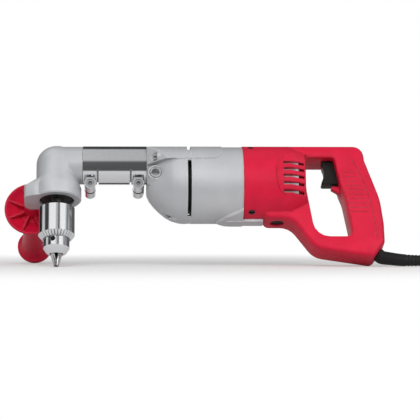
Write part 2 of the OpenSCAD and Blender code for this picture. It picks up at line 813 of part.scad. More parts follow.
module handle_shell_far() {
    color("crimson") stand() difference() {
        half_shell();
        for (p = bolt_places) {
            cross_rod(bolt_r, -over, grip_half + over, p[0], p[1]);
            cross_rod(bolt_head_r + 0.3, grip_half - 3.4, grip_half + 10, p[0], p[1]);
        }
    }
}

module handle_screws() {
    color("dimgray") stand() shell_screw_places()
        translate([0, 0, bell_r - bell_wall])
            slot_screw(shell_head_r, 2.4, shell_screw_r, case_r - 1.8 - bell_r + bell_wall);
}

module shell_bolts() {
    color("dimgray") stand() for (p = bolt_places)
        translate([p[0], -grip_half + 6, p[1]]) rotate([-90, 0, 0])
            slot_screw(bolt_head_r, 2.6, bolt_r, 2 * grip_half - 6 - 3.4);
}

// Trigger and the switch behind it, which holds the trigger's spring
trigger_x = grip_x - 33.5;
trigger_back = grip_x - 6;
switch_x = trigger_back + trigger_travel + 1.5;
module trigger() {
    color([0.09, 0.09, 0.1]) stand() side_plate(-trigger_half, trigger_half) polygon(rounded([
        [trigger_x + 3, opening_top - 0.5, 1], [trigger_x + 3, opening_top - 7, 2],
        [trigger_x + 6.5, -12, 16], [trigger_x + 0.5, trigger_low, 2], [trigger_back - 3, trigger_low, 1],
        [trigger_back, trigger_low + 6, 1], [trigger_back, opening_top - 0.5, 1],
    ]));
}

module switch_body() {
    color("darkslategray") stand() {
        translate([switch_x, -grip_half + shell_wall, trigger_low + 1])
            cube([12, 2 * (grip_half - shell_wall), 24]);
    }
}

module cord_clamp() {
    color("dimgray") stand() along_lead() difference() {
        translate([-7, -grip_half + shell_wall, -29]) cube([14, 2 * (grip_half - shell_wall), 6]);
        translate([0, 0, -36]) cylinder(r = cord_d / 2, h = 20);
    }
}

// Chrome sleeve that clamps the head and the gear case
clamp_z = -tube_r - clamp_r * 0.9;
clamp_places = [tube_x + clamp_inset, tube_end - clamp_inset - 1.4];
relief_w = 2;
module coupling_sleeve() {
    color("gainsboro") stand() difference() {
        union() {
            rod(tube_r, tube_x, tube_end);
            for (x = clamp_places) {
                cross_rod(clamp_r, -clamp_l / 2, clamp_l / 2, x, clamp_z);
                translate([x - clamp_r * 0.8, -clamp_l / 2 + 4, clamp_z])
                    cube([clamp_r * 1.6, clamp_l - 8, tube_r - 13]);
            }
        }
        rod(tube_bore, tube_x - over, tube_end + over);
        translate([tube_x - over, -slit_w / 2, clamp_z - 2 * clamp_r])
            cube([tube_l + 2 * over, slit_w, 2 * clamp_r - clamp_z - 12]);
        for (x = clamp_places) {
            cross_rod(clamp_screw_r, -clamp_l / 2 - over, clamp_l / 2 - 3, x, clamp_z);
            cross_rod(clamp_screw_r + 2.2, -clamp_l / 2 - over, -clamp_l / 2 + 4, x, clamp_z);
        }
        for (x = [clamp_places[0] + clamp_r + 1, clamp_places[1] - clamp_r - 1 - relief_w])
            translate([x, -tube_r, -tube_r - over]) cube([relief_w, 2 * tube_r, tube_r * 0.45]);
    }
}

module clamp_screws() {
    color("silver") stand() for (x = clamp_places)
        translate([x, -clamp_l / 2 + 0.6, clamp_z]) rotate([-90, 0, 0]) difference() {
            union() {
                cylinder(r = clamp_screw_r + 2, h = 3.4);
                cylinder(r = clamp_screw_r, h = clamp_l - 3.6);
            }
            translate([0, 0, -over]) cylinder(r = 2.9, h = 3, $fn = 6);
        }
}

// Armature: shaft, laminated core, windings, commutator, fan and pinion
module armature_shaft() {
    color("lightgray") stand() {
        motor_rod(shaft_r, plate_x + 0.5, rear_bearing_x + rear_bearing_w);
        motor_rod(pinion_seat_r, first_x, plate_x + over);
    }
}

pinion_seat_r = 1.6;
module armature_pinion() {
    color("slategray") stand()
        spur(motor_teeth, motor_module, first_x, gear_w, 0, -motor_drop, first_angle, pinion_seat_r);
}

core_slots = 12;
module armature_core() {
    color("dimgray") stand() difference() {
        motor_rod(core_r, core_x, core_x + core_l);
        motor_rod(shaft_r, core_x - over, core_x + core_l + over);
        translate([core_x - over, 0, -motor_drop]) rotate([90, 0, 90]) for (k = [1 : core_slots])
            rotate(360 * k / core_slots) translate([core_r - 4.4, -1.2, 0]) cube([6, 2.4, core_l + 2 * over]);
    }
}

module armature_coils() {
    color("peru") stand() for (x = [core_x - 8, core_x + core_l])
        rod_ring(core_r - 1, shaft_r, x, x + 8, 0, -motor_drop);
}

bar_count = 24;
module commutator() {
    color("chocolate") stand() difference() {
        motor_rod(commutator_r, commutator_x, commutator_x + commutator_l);
        motor_rod(shaft_r, commutator_x - over, commutator_x + commutator_l + over);
        translate([commutator_x - over, 0, -motor_drop]) rotate([90, 0, 90]) for (k = [1 : bar_count])
            rotate(360 * k / bar_count) translate([commutator_r - 0.8, -0.3, 0])
                cube([2, 0.6, commutator_l + 2 * over]);
    }
}

fan_blades = 14;
module cooling_fan() {
    color("whitesmoke") stand() {
        rod_ring(fan_r, shaft_r, fan_x, fan_x + fan_rim, 0, -motor_drop);
        rod_ring(shaft_r + 4, shaft_r, fan_x + fan_rim - over, fan_x + fan_w, 0, -motor_drop);
        translate([fan_x + fan_rim - over, 0, -motor_drop]) rotate([90, 0, 90]) for (k = [1 : fan_blades])
            rotate(360 * k / fan_blades) translate([shaft_r + 3.5, -0.8, 0])
                cube([fan_r - shaft_r - 5, 1.6, fan_w - fan_rim + over]);
    }
}

module countershaft() {
    color("lightgray") stand() {
        rod(counter_shaft_r, web_x - 3.5, second_x, counter_y, counter_z);
        rod(counter_seat_r, second_x, second_x + gear_w, counter_y, counter_z);
        rod(counter_shaft_r, second_x + gear_w, plate_x + 5.5, counter_y, counter_z);
    }
}

counter_seat_r = 2;
module counter_gear() {
    color("slategray") stand() spur(counter_teeth, motor_module, first_x, gear_w, counter_y, counter_z,
                                    first_angle + 180 + 180 / counter_teeth, counter_shaft_r);
}

module counter_pinion() {
    color("slategray") stand() spur(second_teeth, second_module, second_x, gear_w, counter_y, counter_z,
                                    second_angle, counter_seat_r);
}

// Drill spindle, whose threaded nose screws into the drive shaft of the head
nose_thread_r = 6;
nose_l = 12;
module drill_spindle() {
    color("lightgray") stand() {
        rod(spindle_r, nose_x - 1, second_x + gear_w - 1);
        rod(nose_thread_r, nose_x - nose_l, nose_x);
    }
}

module spindle_gear() {
    color("slategray") stand() spur(spindle_teeth, second_module, second_x, gear_w, 0, 0,
                                    second_angle + 180 + 180 / spindle_teeth, spindle_r);
}

// Right-angle head
module lug_outline() {
    polygon(rounded([
        [-4, 24, 1], [-22, lug_back, 3], [lug_left + 4, lug_back, 6], [lug_left, lug_back - 10, 6],
        [lug_left, -lug_half_near + 2, 6], [-26, -lug_half_near - 4, 12], [-4, -24, 1],
    ]));
}

module head_casting() {
    color("silver") stand() difference() {
        union() {
            rotate_extrude() polygon(concat(
                [[0, -ring_drop], [ring_r - 1.5, -ring_drop], [ring_r, -ring_drop + 1.5],
                 [ring_r, -ring_drop + ring_h], [head_r, -ring_drop + ring_h + 12]],
                [for (a = [0 : 9 : 90]) [head_r, arm_r] + elbow_r * [cos(a) - 1, sin(a) - 1]],
                [[0, arm_r]]));
            rod(arm_r, 0, head_arm);
            rod(tube_bore - spigot_fit, head_arm - over, spigot_end);
            translate([0, 0, -ring_drop]) linear_extrude(ring_h) lug_outline();
            hull() {
                translate([0, 0, -ring_drop + ring_h - 1]) linear_extrude(1) lug_outline();
                post(head_r - 2, -ring_drop + ring_h + 11, -ring_drop + ring_h + 12);
            }
        }
        // Bore of the ring, seat of the lower bearing and room for the bevel gear
        post(ring_r - 8.6, -ring_drop - over, lower_bearing_z);
        post(lower_bearing_r, -ring_drop, lower_bearing_z + lower_bearing_w);
        post(head_cave_r, lower_bearing_z + lower_bearing_w - 2 * running + 1.5, bevel_small_r * 0.2);
        post(hub_r + clear, -ring_drop, 0);
        post(top_journal_r + running, 0, 14);
        // Passage of the drive shaft and the seat of its bearing
        rod(pinion_bearing_r + 1.5, 0, pinion_bearing_x);
        rod(pinion_bearing_r, 0, pinion_bearing_x + pinion_bearing_w);
        rod(coupler_r + 0.6, 0, spigot_end + over);
        // Threaded socket of the side handle
        cross_rod(stud_r, lug_back - 20, lug_back + over, side_x, side_z);
    }
}

module head_bearings() {
    color("lightsteelblue") stand() {
        rod_ring(pinion_bearing_r, pinion_shaft_r + running,
                 pinion_bearing_x, pinion_bearing_x + pinion_bearing_w);
        difference() {
            post(lower_bearing_r, lower_bearing_z, lower_bearing_z + lower_bearing_w);
            post(chuck_shaft_r + running, lower_bearing_z - over, lower_bearing_z + lower_bearing_w + over);
        }
    }
}

module head_seal() {
    color("black") stand() difference() {
        post(ring_r - 8.6, lower_bearing_z - 2, lower_bearing_z);
        post(chuck_shaft_r + 0.3, lower_bearing_z - 3, lower_bearing_z + over);
    }
}

// Drive shaft with its threaded coupler, along the tube axis
coupler_r = 9.5;
coupler_x = nose_x - nose_l - 4;
module drive_shaft() {
    color("lightgray") stand() difference() {
        union() {
            rod(bevel_seat_r, bevel_large_r - bevel_face * cos(bevel_small_cone) + 0.5, bevel_large_r + over);
            rod(pinion_shaft_r, bevel_large_r, coupler_x);
            rod(coupler_r, coupler_x - 2, nose_x - 1.5);
        }
        rod(nose_thread_r + running, coupler_x + 3, nose_x + over);
    }
}

bevel_seat_r = 4;
module bevel_pinion() {
    color("slategray") stand() translate([bevel_large_r, 0, 0]) rotate([0, -90, 0])
        bevel(bevel_small, bevel_module, bevel_small_cone, bevel_large_r, bevel_seat_r);
}

// Chuck spindle down from the crossing of the axes
hub_r = 11;
module chuck_spindle() {
    color("lightgray") stand() {
        post(top_journal_r, -bevel_small_r, 13);
        post(hub_r, lower_bearing_z + lower_bearing_w + 0.3, -bevel_small_r);
        post(chuck_shaft_r, chuck_thread_low, lower_bearing_z + lower_bearing_w + over);
    }
}

chuck_thread_low = -chuck_top - 14;
module bevel_gear() {
    color("slategray") stand() translate([0, 0, -bevel_small_r]) rotate(180 / bevel_large)
        bevel(bevel_large, bevel_module, bevel_large_cone, bevel_small_r, top_journal_r);
}

// Jaw axes lean in towards the tip, and the whole jaw shape stays within its rod
jaw_turns = [90, 210, 330];
function jaw_radius(z) = jaw_offset + (z + tip_drop) * tan(jaw_angle);
module jaw_rod(turn, r, l) {
    rotate(turn) translate([jaw_offset, 0, -tip_drop]) rotate([0, jaw_angle, 0])
        translate([0, 0, -4]) cylinder(r = r, h = l + 4);
}

module chuck_jaw(turn) {
    color("gainsboro") stand() intersection() {
        difference() {
            jaw_rod(turn, jaw_r, jaw_l);
            translate([-30, -30, -tip_drop - 40]) cube([60, 60, 40]);
            for (side = [-1, 1])
                rotate(turn + side * 60) translate([-40, side < 0 ? -40 : -jaw_gap, -tip_drop - 5])
                    cube([80, 40 + jaw_gap, 60]);
        }
        union() {
            translate([0, 0, -tip_drop]) cylinder(r1 = tip_r, r2 = 8, h = 17.5);
            post(chuck_r, -tip_drop + 17.5, -chuck_top);
        }
    }
}

module chuck_jaw_1() {
    chuck_jaw(jaw_turns[0]);
}

module chuck_jaw_2() {
    chuck_jaw(jaw_turns[1]);
}

module chuck_jaw_3() {
    chuck_jaw(jaw_turns[2]);
}

key_holes = 3;
key_z = sleeve_low - chuck_bevel - 3.6;
module chuck_body() {
    color("gainsboro") stand() difference() {
        rotate_extrude() polygon([
            [0, -chuck_top + 3], [chuck_body_r - 3, -chuck_top + 3], [chuck_body_r, -chuck_top],
            [chuck_body_r, nut_high + clear], [jaw_radius(nut_high) - 1, nut_high + clear],
            [jaw_radius(nut_low) - 1, nut_low - clear], [chuck_nose_r, nut_low - clear],
            [chuck_nose_r, nose_low + 8], [12.5, nose_low + 3], [8.2, nose_low],
            [0, nose_low],
        ]);
        for (turn = jaw_turns) jaw_rod(turn, jaw_r + 0.06, jaw_l + jaw_travel + 0.6);
        post(chuck_shaft_r, chuck_thread_low, 0);
        post(jaw_offset + 1.4, -tip_drop, chuck_thread_low + over);
        for (k = [0 : key_holes - 1])
            rotate(-106 + 360 * k / key_holes) translate([chuck_nose_r - 7, 0, key_z]) rotate([0, 90, 0])
                cylinder(r = key_hole_r, h = 10);
    }
}

module chuck_sleeve() {
    color("gainsboro") stand() difference() {
        rotate_extrude() polygon([
            [chuck_r - sleeve_wall, nut_low], [chuck_nose_r + clear, nut_low],
            [chuck_nose_r + clear, sleeve_low - chuck_bevel], [chuck_nose_r + 1.6, sleeve_low - chuck_bevel],
            [chuck_r, sleeve_low], [chuck_r, -chuck_top - 0.8], [chuck_r - 0.8, -chuck_top],
            [chuck_r - sleeve_wall, -chuck_top],
        ]);
        for (k = [0 : sleeve_teeth - 1]) rotate(360 * (k + 0.5) / sleeve_teeth)
            translate([chuck_r - chuck_bevel / 2 + 0.6, 0, sleeve_low - chuck_bevel / 2 - 0.6])
                rotate([0, 45, 0]) rotate(45) cube([2.1, 2.1, 12], center = true);
    }
}

module chuck_nut() {
    color("silver") stand() difference() {
        post(chuck_r - sleeve_wall, nut_low, nut_high);
        translate([0, 0, nut_low - over]) cylinder(
            r1 = jaw_radius(nut_low - over) + jaw_r / cos(jaw_angle) + 0.3,
            r2 = jaw_radius(nut_high + over) + jaw_r / cos(jaw_angle) + 0.3,
            h = nut_high - nut_low + 2 * over);
    }
}

// Side handle, turned about its own axis: [radius, distance from the mid plane]
grip_y = side_reach - guard_y;
hub_nose_r = 9;
rib_count = 8;
module along_side() {
    translate([side_x, 0, side_z]) rotate([-90, 0, 0]) children();
}

module side_handle() {
    color("crimson") stand() along_side() difference() {
        union() {
            rotate_extrude() polygon([
                [0, lug_back], [hub_nose_r, lug_back], [hub_nose_r + 0.6, guard_y + 9],
                [hub_nose_r + 5, guard_y + 11], [guard_r - 8, guard_y + 6], [guard_r - 1.5, guard_y],
                [guard_r, guard_y + 0.8], [guard_r, guard_y + 3],
                [guard_r - 5, guard_y + 9], [guard_r - 11, guard_y + 15], [waist_r + 4, guard_y + 23],
                [waist_r + 1.4, guard_y + 34], [waist_r, guard_y + grip_y * 0.42],
                [waist_r, guard_y + grip_y * 0.6], [waist_r + 0.8, guard_y + grip_y * 0.76],
                [waist_r + 2.6, guard_y + grip_y * 0.87],
                [rim_r - 2.6, side_reach - 7], [rim_r, side_reach - 4.5], [rim_r, side_reach],
                [rim_r - 2, side_reach + 2], [0, side_reach + 2],
            ]);
            for (k = [1 : rib_count]) rotate(360 * (k + 0.5) / rib_count)
                translate([hub_nose_r - 1, -1, guard_y + 1.5]) cube([guard_r - hub_nose_r - 2.5, 2, 8]);
        }
        translate([0, 0, lug_back - over]) cylinder(r = stud_r, h = 48);
    }
}

module side_handle_stud() {
    color("silver") stand() along_side() translate([0, 0, lug_back - 19]) cylinder(r = stud_r, h = 19 + 46);
}

// Cord boot from the heel to the ground, as places of its middle and its radii
boot_points = concat(
    [for (d = [-13, 0, 6]) ground(chamfer_mid + d * chamfer_out)],
    [[233, -89.5, 9.2], [246, -90.6, 7.7], [259, -91, 7.1], [270, -91, 7]]
);
boot_radii = [8.3, 8.3, 8.2, 8, 7.4, 7, 6.6];
module cord_boot() {
    color([0.1, 0.1, 0.1]) tube(boot_points, boot_radii, 12);
}

// The lead's own places, chosen by hand on the ground, and the coil that it runs into
lead_points = [
    [258, -91, 7.1], [270, -91, 7], [282, -91, 6.6], [298, -91, 6.4],
    [316, -91, 6.4], [334, -91, 6.4], [352, -91, 6.4],
];
module cord_lead() {
    color([0.13, 0.13, 0.13]) tube(lead_points, [for (p = lead_points) cord_d / 2], 8);
}

coil_start = lead_points[len(lead_points) - 1];
coil_centre = [coil_start[0] + cord_d, coil_start[1] + coil_r, coil_start[2]];
coil_steps = 24;
coil_half = coil_turns / 2;
plug_r = 11.5;
tail_spread = 9;
tail_drop = coil_start[2] + coil_pitch - plug_r - 0.1;
// The coil winds in on the ground, climbs a layer and winds out; its last quarter turn slides off to the plug
function coil_place(turn) =
    let (inward = turn < coil_half ? turn : coil_turns - turn)
    let (climb = max(0, min(1, (turn - coil_half + 0.25) * 2)))
    let (fall = max(0, 1 - 4 * (coil_turns - turn)), ease = fall * fall * (3 - 2 * fall))
    let (r = coil_r - coil_pitch * inward + tail_spread * ease)
    coil_centre + [r * sin(360 * turn), -r * cos(360 * turn), coil_pitch * climb - tail_drop * ease];
coil_end = coil_place(coil_turns);
plug_gap = 12;
coil_points = concat(
    [coil_start],
    [for (i = [0 : coil_turns * coil_steps]) coil_place(i / coil_steps)],
    [coil_end - [plug_gap, 0, 0]]
);
module cord_coil() {
    color([0.13, 0.13, 0.13]) tube(coil_points, [for (p = coil_points) cord_d / 2], 6);
}

// A strap round the bundle of turns on the coil's far side from the tool
tie_t = 1.4;
tie_w = 12;
tie_low = coil_start[2] - cord_d / 2 - tie_t - 0.3;
tie_high = coil_start[2] + coil_pitch + cord_d / 2 + tie_t + 0.3;
tie_in = coil_r - coil_pitch * coil_half - cord_d / 2 - tie_t - 1.2;
tie_out = coil_r + cord_d / 2 + tie_t + 0.8;
tie_round = 3;
module tie_loop(t) {
    round = tie_round - t;
    polygon(rounded([
        [tie_in + t, tie_low + t, round], [tie_out - t, tie_low + t, round],
        [tie_out - t, tie_high - t, round], [tie_in + t, tie_high - t, round],
    ]));
}

module cord_tie() {
    color("black") translate([coil_centre[0], coil_centre[1] + tie_w / 2, 0]) rotate([90, 0, 0])
        linear_extrude(tie_w) difference() {
            tie_loop(0);
            tie_loop(tie_t);
        }
}

// Plug at the end of the coil, heading back along -X
plug_at = coil_end - [plug_gap, 0, 0];
plug_l = 34;
module plug_body() {
    color([0.1, 0.1, 0.1]) translate(plug_at) rotate([0, -90, 0]) difference() {
        rotate_extrude() polygon([
            [0, 0], [cord_d / 2 + 1.5, 0], [cord_d / 2 + 3, 10], [plug_r, 16],
            [plug_r, plug_l - 1], [plug_r - 1, plug_l], [0, plug_l],
        ]);
        translate([-1, -7.2, plug_l - 8]) cube([6.4, 1.6, 20]);
        translate([-1, 5.6, plug_l - 8]) cube([6.4, 1.6, 20]);
        translate([-6, 0, plug_l - 8]) cylinder(r = 2.4, h = 20);
    }
}

module plug_blades() {
    color("gold") translate(plug_at) rotate([0, -90, 0]) {
        for (side = [-7.2, 5.6]) translate([-1, side, plug_l - 8]) cube([6.4, 1.6, 24]);
        translate([-6, 0, plug_l - 8]) cylinder(r = 2.4, h = 26);
    }
}

gear_case();
bearing_plate();
motor_housing();
field_core();
field_coils();
brush_holders();
carbon_brushes();
brush_caps();
gear_case_screws();
handle_shell_near();
handle_shell_far();
handle_screws();
shell_bolts();
switch_body();
cord_clamp();
spindle_bearings();
counter_bearings();
armature_bearings();
coupling_sleeve();
clamp_screws();
armature_shaft();
armature_core();
armature_coils();
commutator();
cooling_fan();
armature_pinion();
countershaft();
counter_gear();
counter_pinion();
drill_spindle();
spindle_gear();
head_casting();
head_bearings();
head_seal();
side_handle();
side_handle_stud();
drive_shaft();
bevel_pinion();
chuck_spindle();
bevel_gear();
chuck_body();
chuck_sleeve();
chuck_nut();
chuck_jaw_1();
chuck_jaw_2();
chuck_jaw_3();
trigger();
cord_boot();
cord_lead();
cord_coil();
cord_tie();
plug_body();
plug_blades();
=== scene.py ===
import json
import math

import bpy
from mathutils import Matrix, Vector


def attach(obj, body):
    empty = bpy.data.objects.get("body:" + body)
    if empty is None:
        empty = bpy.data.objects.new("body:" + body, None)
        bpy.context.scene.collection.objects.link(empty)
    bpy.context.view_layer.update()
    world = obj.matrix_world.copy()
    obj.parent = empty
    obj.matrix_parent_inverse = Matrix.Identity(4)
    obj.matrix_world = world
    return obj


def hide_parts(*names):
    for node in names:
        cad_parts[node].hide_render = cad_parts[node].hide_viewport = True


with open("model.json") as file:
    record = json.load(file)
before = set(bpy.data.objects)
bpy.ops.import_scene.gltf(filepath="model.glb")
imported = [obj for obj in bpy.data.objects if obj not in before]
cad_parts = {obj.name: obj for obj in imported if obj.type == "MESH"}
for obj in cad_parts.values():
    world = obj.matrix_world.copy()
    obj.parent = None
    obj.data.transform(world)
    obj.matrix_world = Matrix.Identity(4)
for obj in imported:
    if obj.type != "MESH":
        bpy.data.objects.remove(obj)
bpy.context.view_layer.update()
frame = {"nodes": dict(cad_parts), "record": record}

bl_info = {
    "name": "Right Angle Drill",
    "version": (1, 0, 0),
    "blender": (4, 5, 0),
    "location": "View3D > Sidebar > Drill",
    "description": "Dresses the packed solids of a drill with finishes, moulded detail and its lead",
    "category": "Object",
}

MM = 0.001
# Points that lie closer than this are one point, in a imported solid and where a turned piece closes
WELD = 0.002 * MM
SEAM_WELD = 0.005 * MM


def length(name, description, default):
    """A size in metres that shows with its unit."""
    return bpy.props.FloatProperty(
        name=name, description=description, default=default, min=0, unit="LENGTH", precision=4
    )


def colour(name, description, default):
    """A plain colour in scene values."""
    return bpy.props.FloatVectorProperty(
        name=name, description=description, default=default, subtype="COLOR", size=3, min=0, max=1
    )


class DrillSizes(bpy.types.PropertyGroup):
    """Sizes of the stance, the lead and the moulded detail."""

    lean: bpy.props.FloatProperty(
        name="Lean", description="How far the tool leans back on its three resting points",
        default=math.radians(22.6938), subtype="ANGLE",
    )
    tube_height: length("Tube height", "Height of the drive tube's axis at the chuck", 120.17 * MM)
    origin_x: length("Middle along the tube", "From the chuck axis to the middle of the tool", 162 * MM)
    origin_y: length("Middle across the tube", "From the tube axis to the middle of the tool", 42.5676 * MM)
    cord_d: length("Cord diameter", "Outside diameter of the mains lead", 9 * MM)
    coil_r: length("Coil radius", "Radius of the outer turn of the wound lead", 70 * MM)
    coil_pitch: length("Coil pitch", "Distance from one turn to the next", 9.6 * MM)
    coil_turns: bpy.props.FloatProperty(name="Coil turns", description="Turns of the wound lead", default=6.5)
    tail_spread: length("Tail spread", "How far the lead's end swings out from the coil", 9 * MM)
    tail_drop: length("Tail drop", "How far the lead's end sinks from the upper layer", 4.4 * MM)
    plug_gap: length("Plug gap", "From the coil's end to the plug", 12 * MM)
    grip_half: length("Half grip", "Half the thickness of the D-handle", 20 * MM)


class DrillColours(bpy.types.PropertyGroup):
    """Colours of the finishes."""

    red: colour("Moulded red", "Handle shells and side handle", (0.65, 0.010, 0.045))
    grey: colour("Cast grey", "Painted castings", (0.53, 0.54, 0.56))
    chrome: colour("Chrome", "Sleeve and chuck", (0.78, 0.79, 0.81))
    steel: colour("Steel", "Screws, shafts and jaws", (0.56, 0.56, 0.57))
    black: colour("Black", "Trigger, caps and boot", (0.011, 0.010, 0.010))
    rubber: colour("Rubber", "Mains lead", (0.022, 0.022, 0.023))
    copper: colour("Copper", "Windings and commutator", (0.60, 0.27, 0.13))
    brass: colour("Brass", "Brush holders and plug blades", (0.70, 0.50, 0.20))


def sizes():
    """The sizes that the scene holds."""
    return bpy.context.scene.drill_sizes


def colours():
    """The colours that the scene holds."""
    return bpy.context.scene.drill_colours


def tool_matrix():
    """From the tool frame, X along the tube and Z up the chuck, to where the tool stands."""
    s = sizes()
    return Matrix.Translation((-s.origin_x, -s.origin_y, s.tube_height)) @ Matrix.Rotation(-s.lean, 4, "X")


def tool_point(x, y, z):
    """A place of the tool frame in millimetres, as a point of the scene."""
    return tool_matrix() @ (Vector((x, y, z)) * MM)


# Finishes

EDGE_SAMPLES = 4
# From a flat face to a full edge, by how well a face's direction agrees with that of the rounded edge
EDGE_BEND = (0.995, 0.8)
HOLLOW_SAMPLES = 6
# From a narrow hollow to an open face, by the light that gets in
OPENNESS = (0.35, 0.9)
# The colour sockets of a mix node
MIX_FIRST, MIX_SECOND, MIX_RESULT = 6, 7, 2
# How fast a wave pattern of scale 1 runs, per metre
WAVE_RATE = 20
METAL_EDGE = 0.0004
# How tool marks are drawn out, by axis
ALONG_TUBE = (0.05, 1, 1)
UP_CHUCK = (1, 1, 0.05)
EVEN = (1, 1, 1)


def start_finish(name):
    """A material with its shader and the coordinates that its patterns follow."""
    material = bpy.data.materials.new(name)
    material.use_nodes = True
    nodes = material.node_tree.nodes
    place = nodes.new("ShaderNodeTexCoord")
    return material, nodes, material.node_tree.links, nodes["Principled BSDF"], place.outputs["Object"]


def noise(nodes, links, place, scale, detail=3.0, stretch=None):
    """A noise pattern, drawn out along an axis where a stretch is given."""
    pattern = nodes.new("ShaderNodeTexNoise")
    pattern.inputs["Scale"].default_value = scale
    pattern.inputs["Detail"].default_value = detail
    if stretch:
        mapping = nodes.new("ShaderNodeMapping")
        mapping.inputs["Scale"].default_value = stretch
        links.new(place, mapping.inputs["Vector"])
        place = mapping.outputs["Vector"]
    links.new(place, pattern.inputs["Vector"])
    return pattern.outputs["Fac"]


def ramp(nodes, links, value, low, high, start=0.35, end=0.65):
    """Turns a pattern into a run from one colour to another."""
    blend = nodes.new("ShaderNodeValToRGB")
    blend.color_ramp.elements[0].position = start
    blend.color_ramp.elements[1].position = end
    blend.color_ramp.elements[0].color = (*low, 1)
    blend.color_ramp.elements[1].color = (*high, 1)
    links.new(value, blend.inputs["Fac"])
    return blend.outputs["Color"]


def spread(nodes, links, value, low, high, start=0.0, end=1.0):
    """Turns a pattern into a run of numbers."""
    change = nodes.new("ShaderNodeMapRange")
    change.inputs["From Min"].default_value = start
    change.inputs["From Max"].default_value = end
    change.inputs["To Min"].default_value = low
    change.inputs["To Max"].default_value = high
    links.new(value, change.inputs["Value"])
    return change.outputs["Result"]


def fade(nodes, links, value, start, end):
    """A soft step from 0 at the start to 1 at the end."""
    change = nodes.new("ShaderNodeMapRange")
    change.interpolation_type = "SMOOTHSTEP"
    change.inputs["From Min"].default_value = start
    change.inputs["From Max"].default_value = end
    links.new(value, change.inputs["Value"])
    return change.outputs["Result"]


def figure(nodes, links, operation, first, second):
    """What one operation makes of two values."""
    node = nodes.new("ShaderNodeMath")
    node.operation = operation
    links.new(first, node.inputs[0])
    links.new(second, node.inputs[1])
    return node.outputs["Value"]


def rounded_direction(nodes, radius):
    """The direction of the surface, as if its edges were rounded."""
    edge = nodes.new("ShaderNodeBevel")
    edge.samples = EDGE_SAMPLES
    edge.inputs["Radius"].default_value = radius
    return edge.outputs["Normal"]


def grain(nodes, links, shader, height, depth, rounding=0.0):
    """Raises the surface by a pattern, over edges rounded by the given radius."""
    bump = nodes.new("ShaderNodeBump")
    bump.inputs["Distance"].default_value = depth
    links.new(height, bump.inputs["Height"])
    if rounding:
        links.new(rounded_direction(nodes, rounding), bump.inputs["Normal"])
    links.new(bump.outputs["Normal"], shader.inputs["Normal"])


def edge_highlight(nodes, links, place, width):
    """Where an edge runs, broken up into patches, as a mask for painted highlights."""
    plain = nodes.new("ShaderNodeNewGeometry")
    compare = nodes.new("ShaderNodeVectorMath")
    compare.operation = "DOT_PRODUCT"
    links.new(rounded_direction(nodes, width), compare.inputs[0])
    links.new(plain.outputs["Normal"], compare.inputs[1])
    bend = fade(nodes, links, compare.outputs["Value"], *EDGE_BEND)
    spots = noise(nodes, links, place, scale=150)
    patches = spread(nodes, links, spots, low=0.25, high=0.9, start=0.35, end=0.6)
    return figure(nodes, links, "MULTIPLY", bend, patches)


def open_to_light(nodes, links, depth):
    """Full on open surfaces and nothing in narrow hollows, by how much of the surroundings a point sees; used
    to paint shade into hollows.
    """
    inside = nodes.new("ShaderNodeAmbientOcclusion")
    inside.samples = HOLLOW_SAMPLES
    inside.inputs["Distance"].default_value = depth
    return fade(nodes, links, inside.outputs["AO"], *OPENNESS)


def toward(nodes, links, amount, first, second):
    """From a pattern's colour to one plain colour, by an amount."""
    mix = nodes.new("ShaderNodeMix")
    mix.data_type = "RGBA"
    links.new(amount, mix.inputs["Factor"])
    links.new(first, mix.inputs[MIX_FIRST])
    mix.inputs[MIX_SECOND].default_value = (*second, 1)
    return mix.outputs[MIX_RESULT]


def shade(base, factor):
    """A lighter or darker run of a colour."""
    return tuple(min(1.0, channel * factor) for channel in base)


def paler(base, amount):
    """A colour on its way to white."""
    return tuple(channel + (1 - channel) * amount for channel in base)


def plastic_finish(name, base, roughness, texture, rounding=0.0):
    """Moulded plastic: slight mottling, painted highlights on edges, painted shade in hollows, a fine moulded
    grain and uneven gloss.
    """
    material, nodes, links, shader, place = start_finish(name)
    cloud = noise(nodes, links, place, scale=55, detail=4)
    skin = ramp(nodes, links, cloud, shade(base, 0.93), shade(base, 1.04))
    # Painted highlight: edges turn slightly paler, in patches.
    edge_light = edge_highlight(nodes, links, place, width=0.0014)
    highlighted = toward(nodes, links, edge_light, skin, paler(base, 0.1))
    # Painted shade: the colour darkens in narrow hollows such as the grip's grooves.
    hollow_shade = spread(nodes, links, open_to_light(nodes, links, depth=0.002), low=0.6, high=0.0)
    links.new(toward(nodes, links, hollow_shade, highlighted, shade(base, 0.3)), shader.inputs["Base Color"])
    gloss = noise(nodes, links, place, scale=240)
    links.new(spread(nodes, links, gloss, roughness * 0.8, roughness * 1.25), shader.inputs["Roughness"])
    grain(nodes, links, shader, noise(nodes, links, place, scale=1300, detail=2), texture, rounding)
    shader.inputs["IOR"].default_value = 1.5
    shader.inputs["Specular IOR Level"].default_value = 0.22
    return material


def cast_finish(name, base, rounding):
    """A painted die casting: grainy skin, faint flow marks, painted highlights on its edges and a soft sheen.
    """
    material, nodes, links, shader, place = start_finish(name)
    flow = noise(nodes, links, place, scale=26, detail=5)
    skin = ramp(nodes, links, flow, shade(base, 0.95), shade(base, 1.04))
    # Painted highlight: edges turn much paler, in patches.
    edge_light = edge_highlight(nodes, links, place, width=0.0015)
    links.new(toward(nodes, links, edge_light, skin, paler(base, 0.7)), shader.inputs["Base Color"])
    gloss = noise(nodes, links, place, scale=420)
    links.new(spread(nodes, links, gloss, low=0.34, high=0.5), shader.inputs["Roughness"])
    grain(nodes, links, shader, noise(nodes, links, place, scale=1500), depth=0.00012, rounding=rounding)
    shader.inputs["Metallic"].default_value = 0.25
    return material


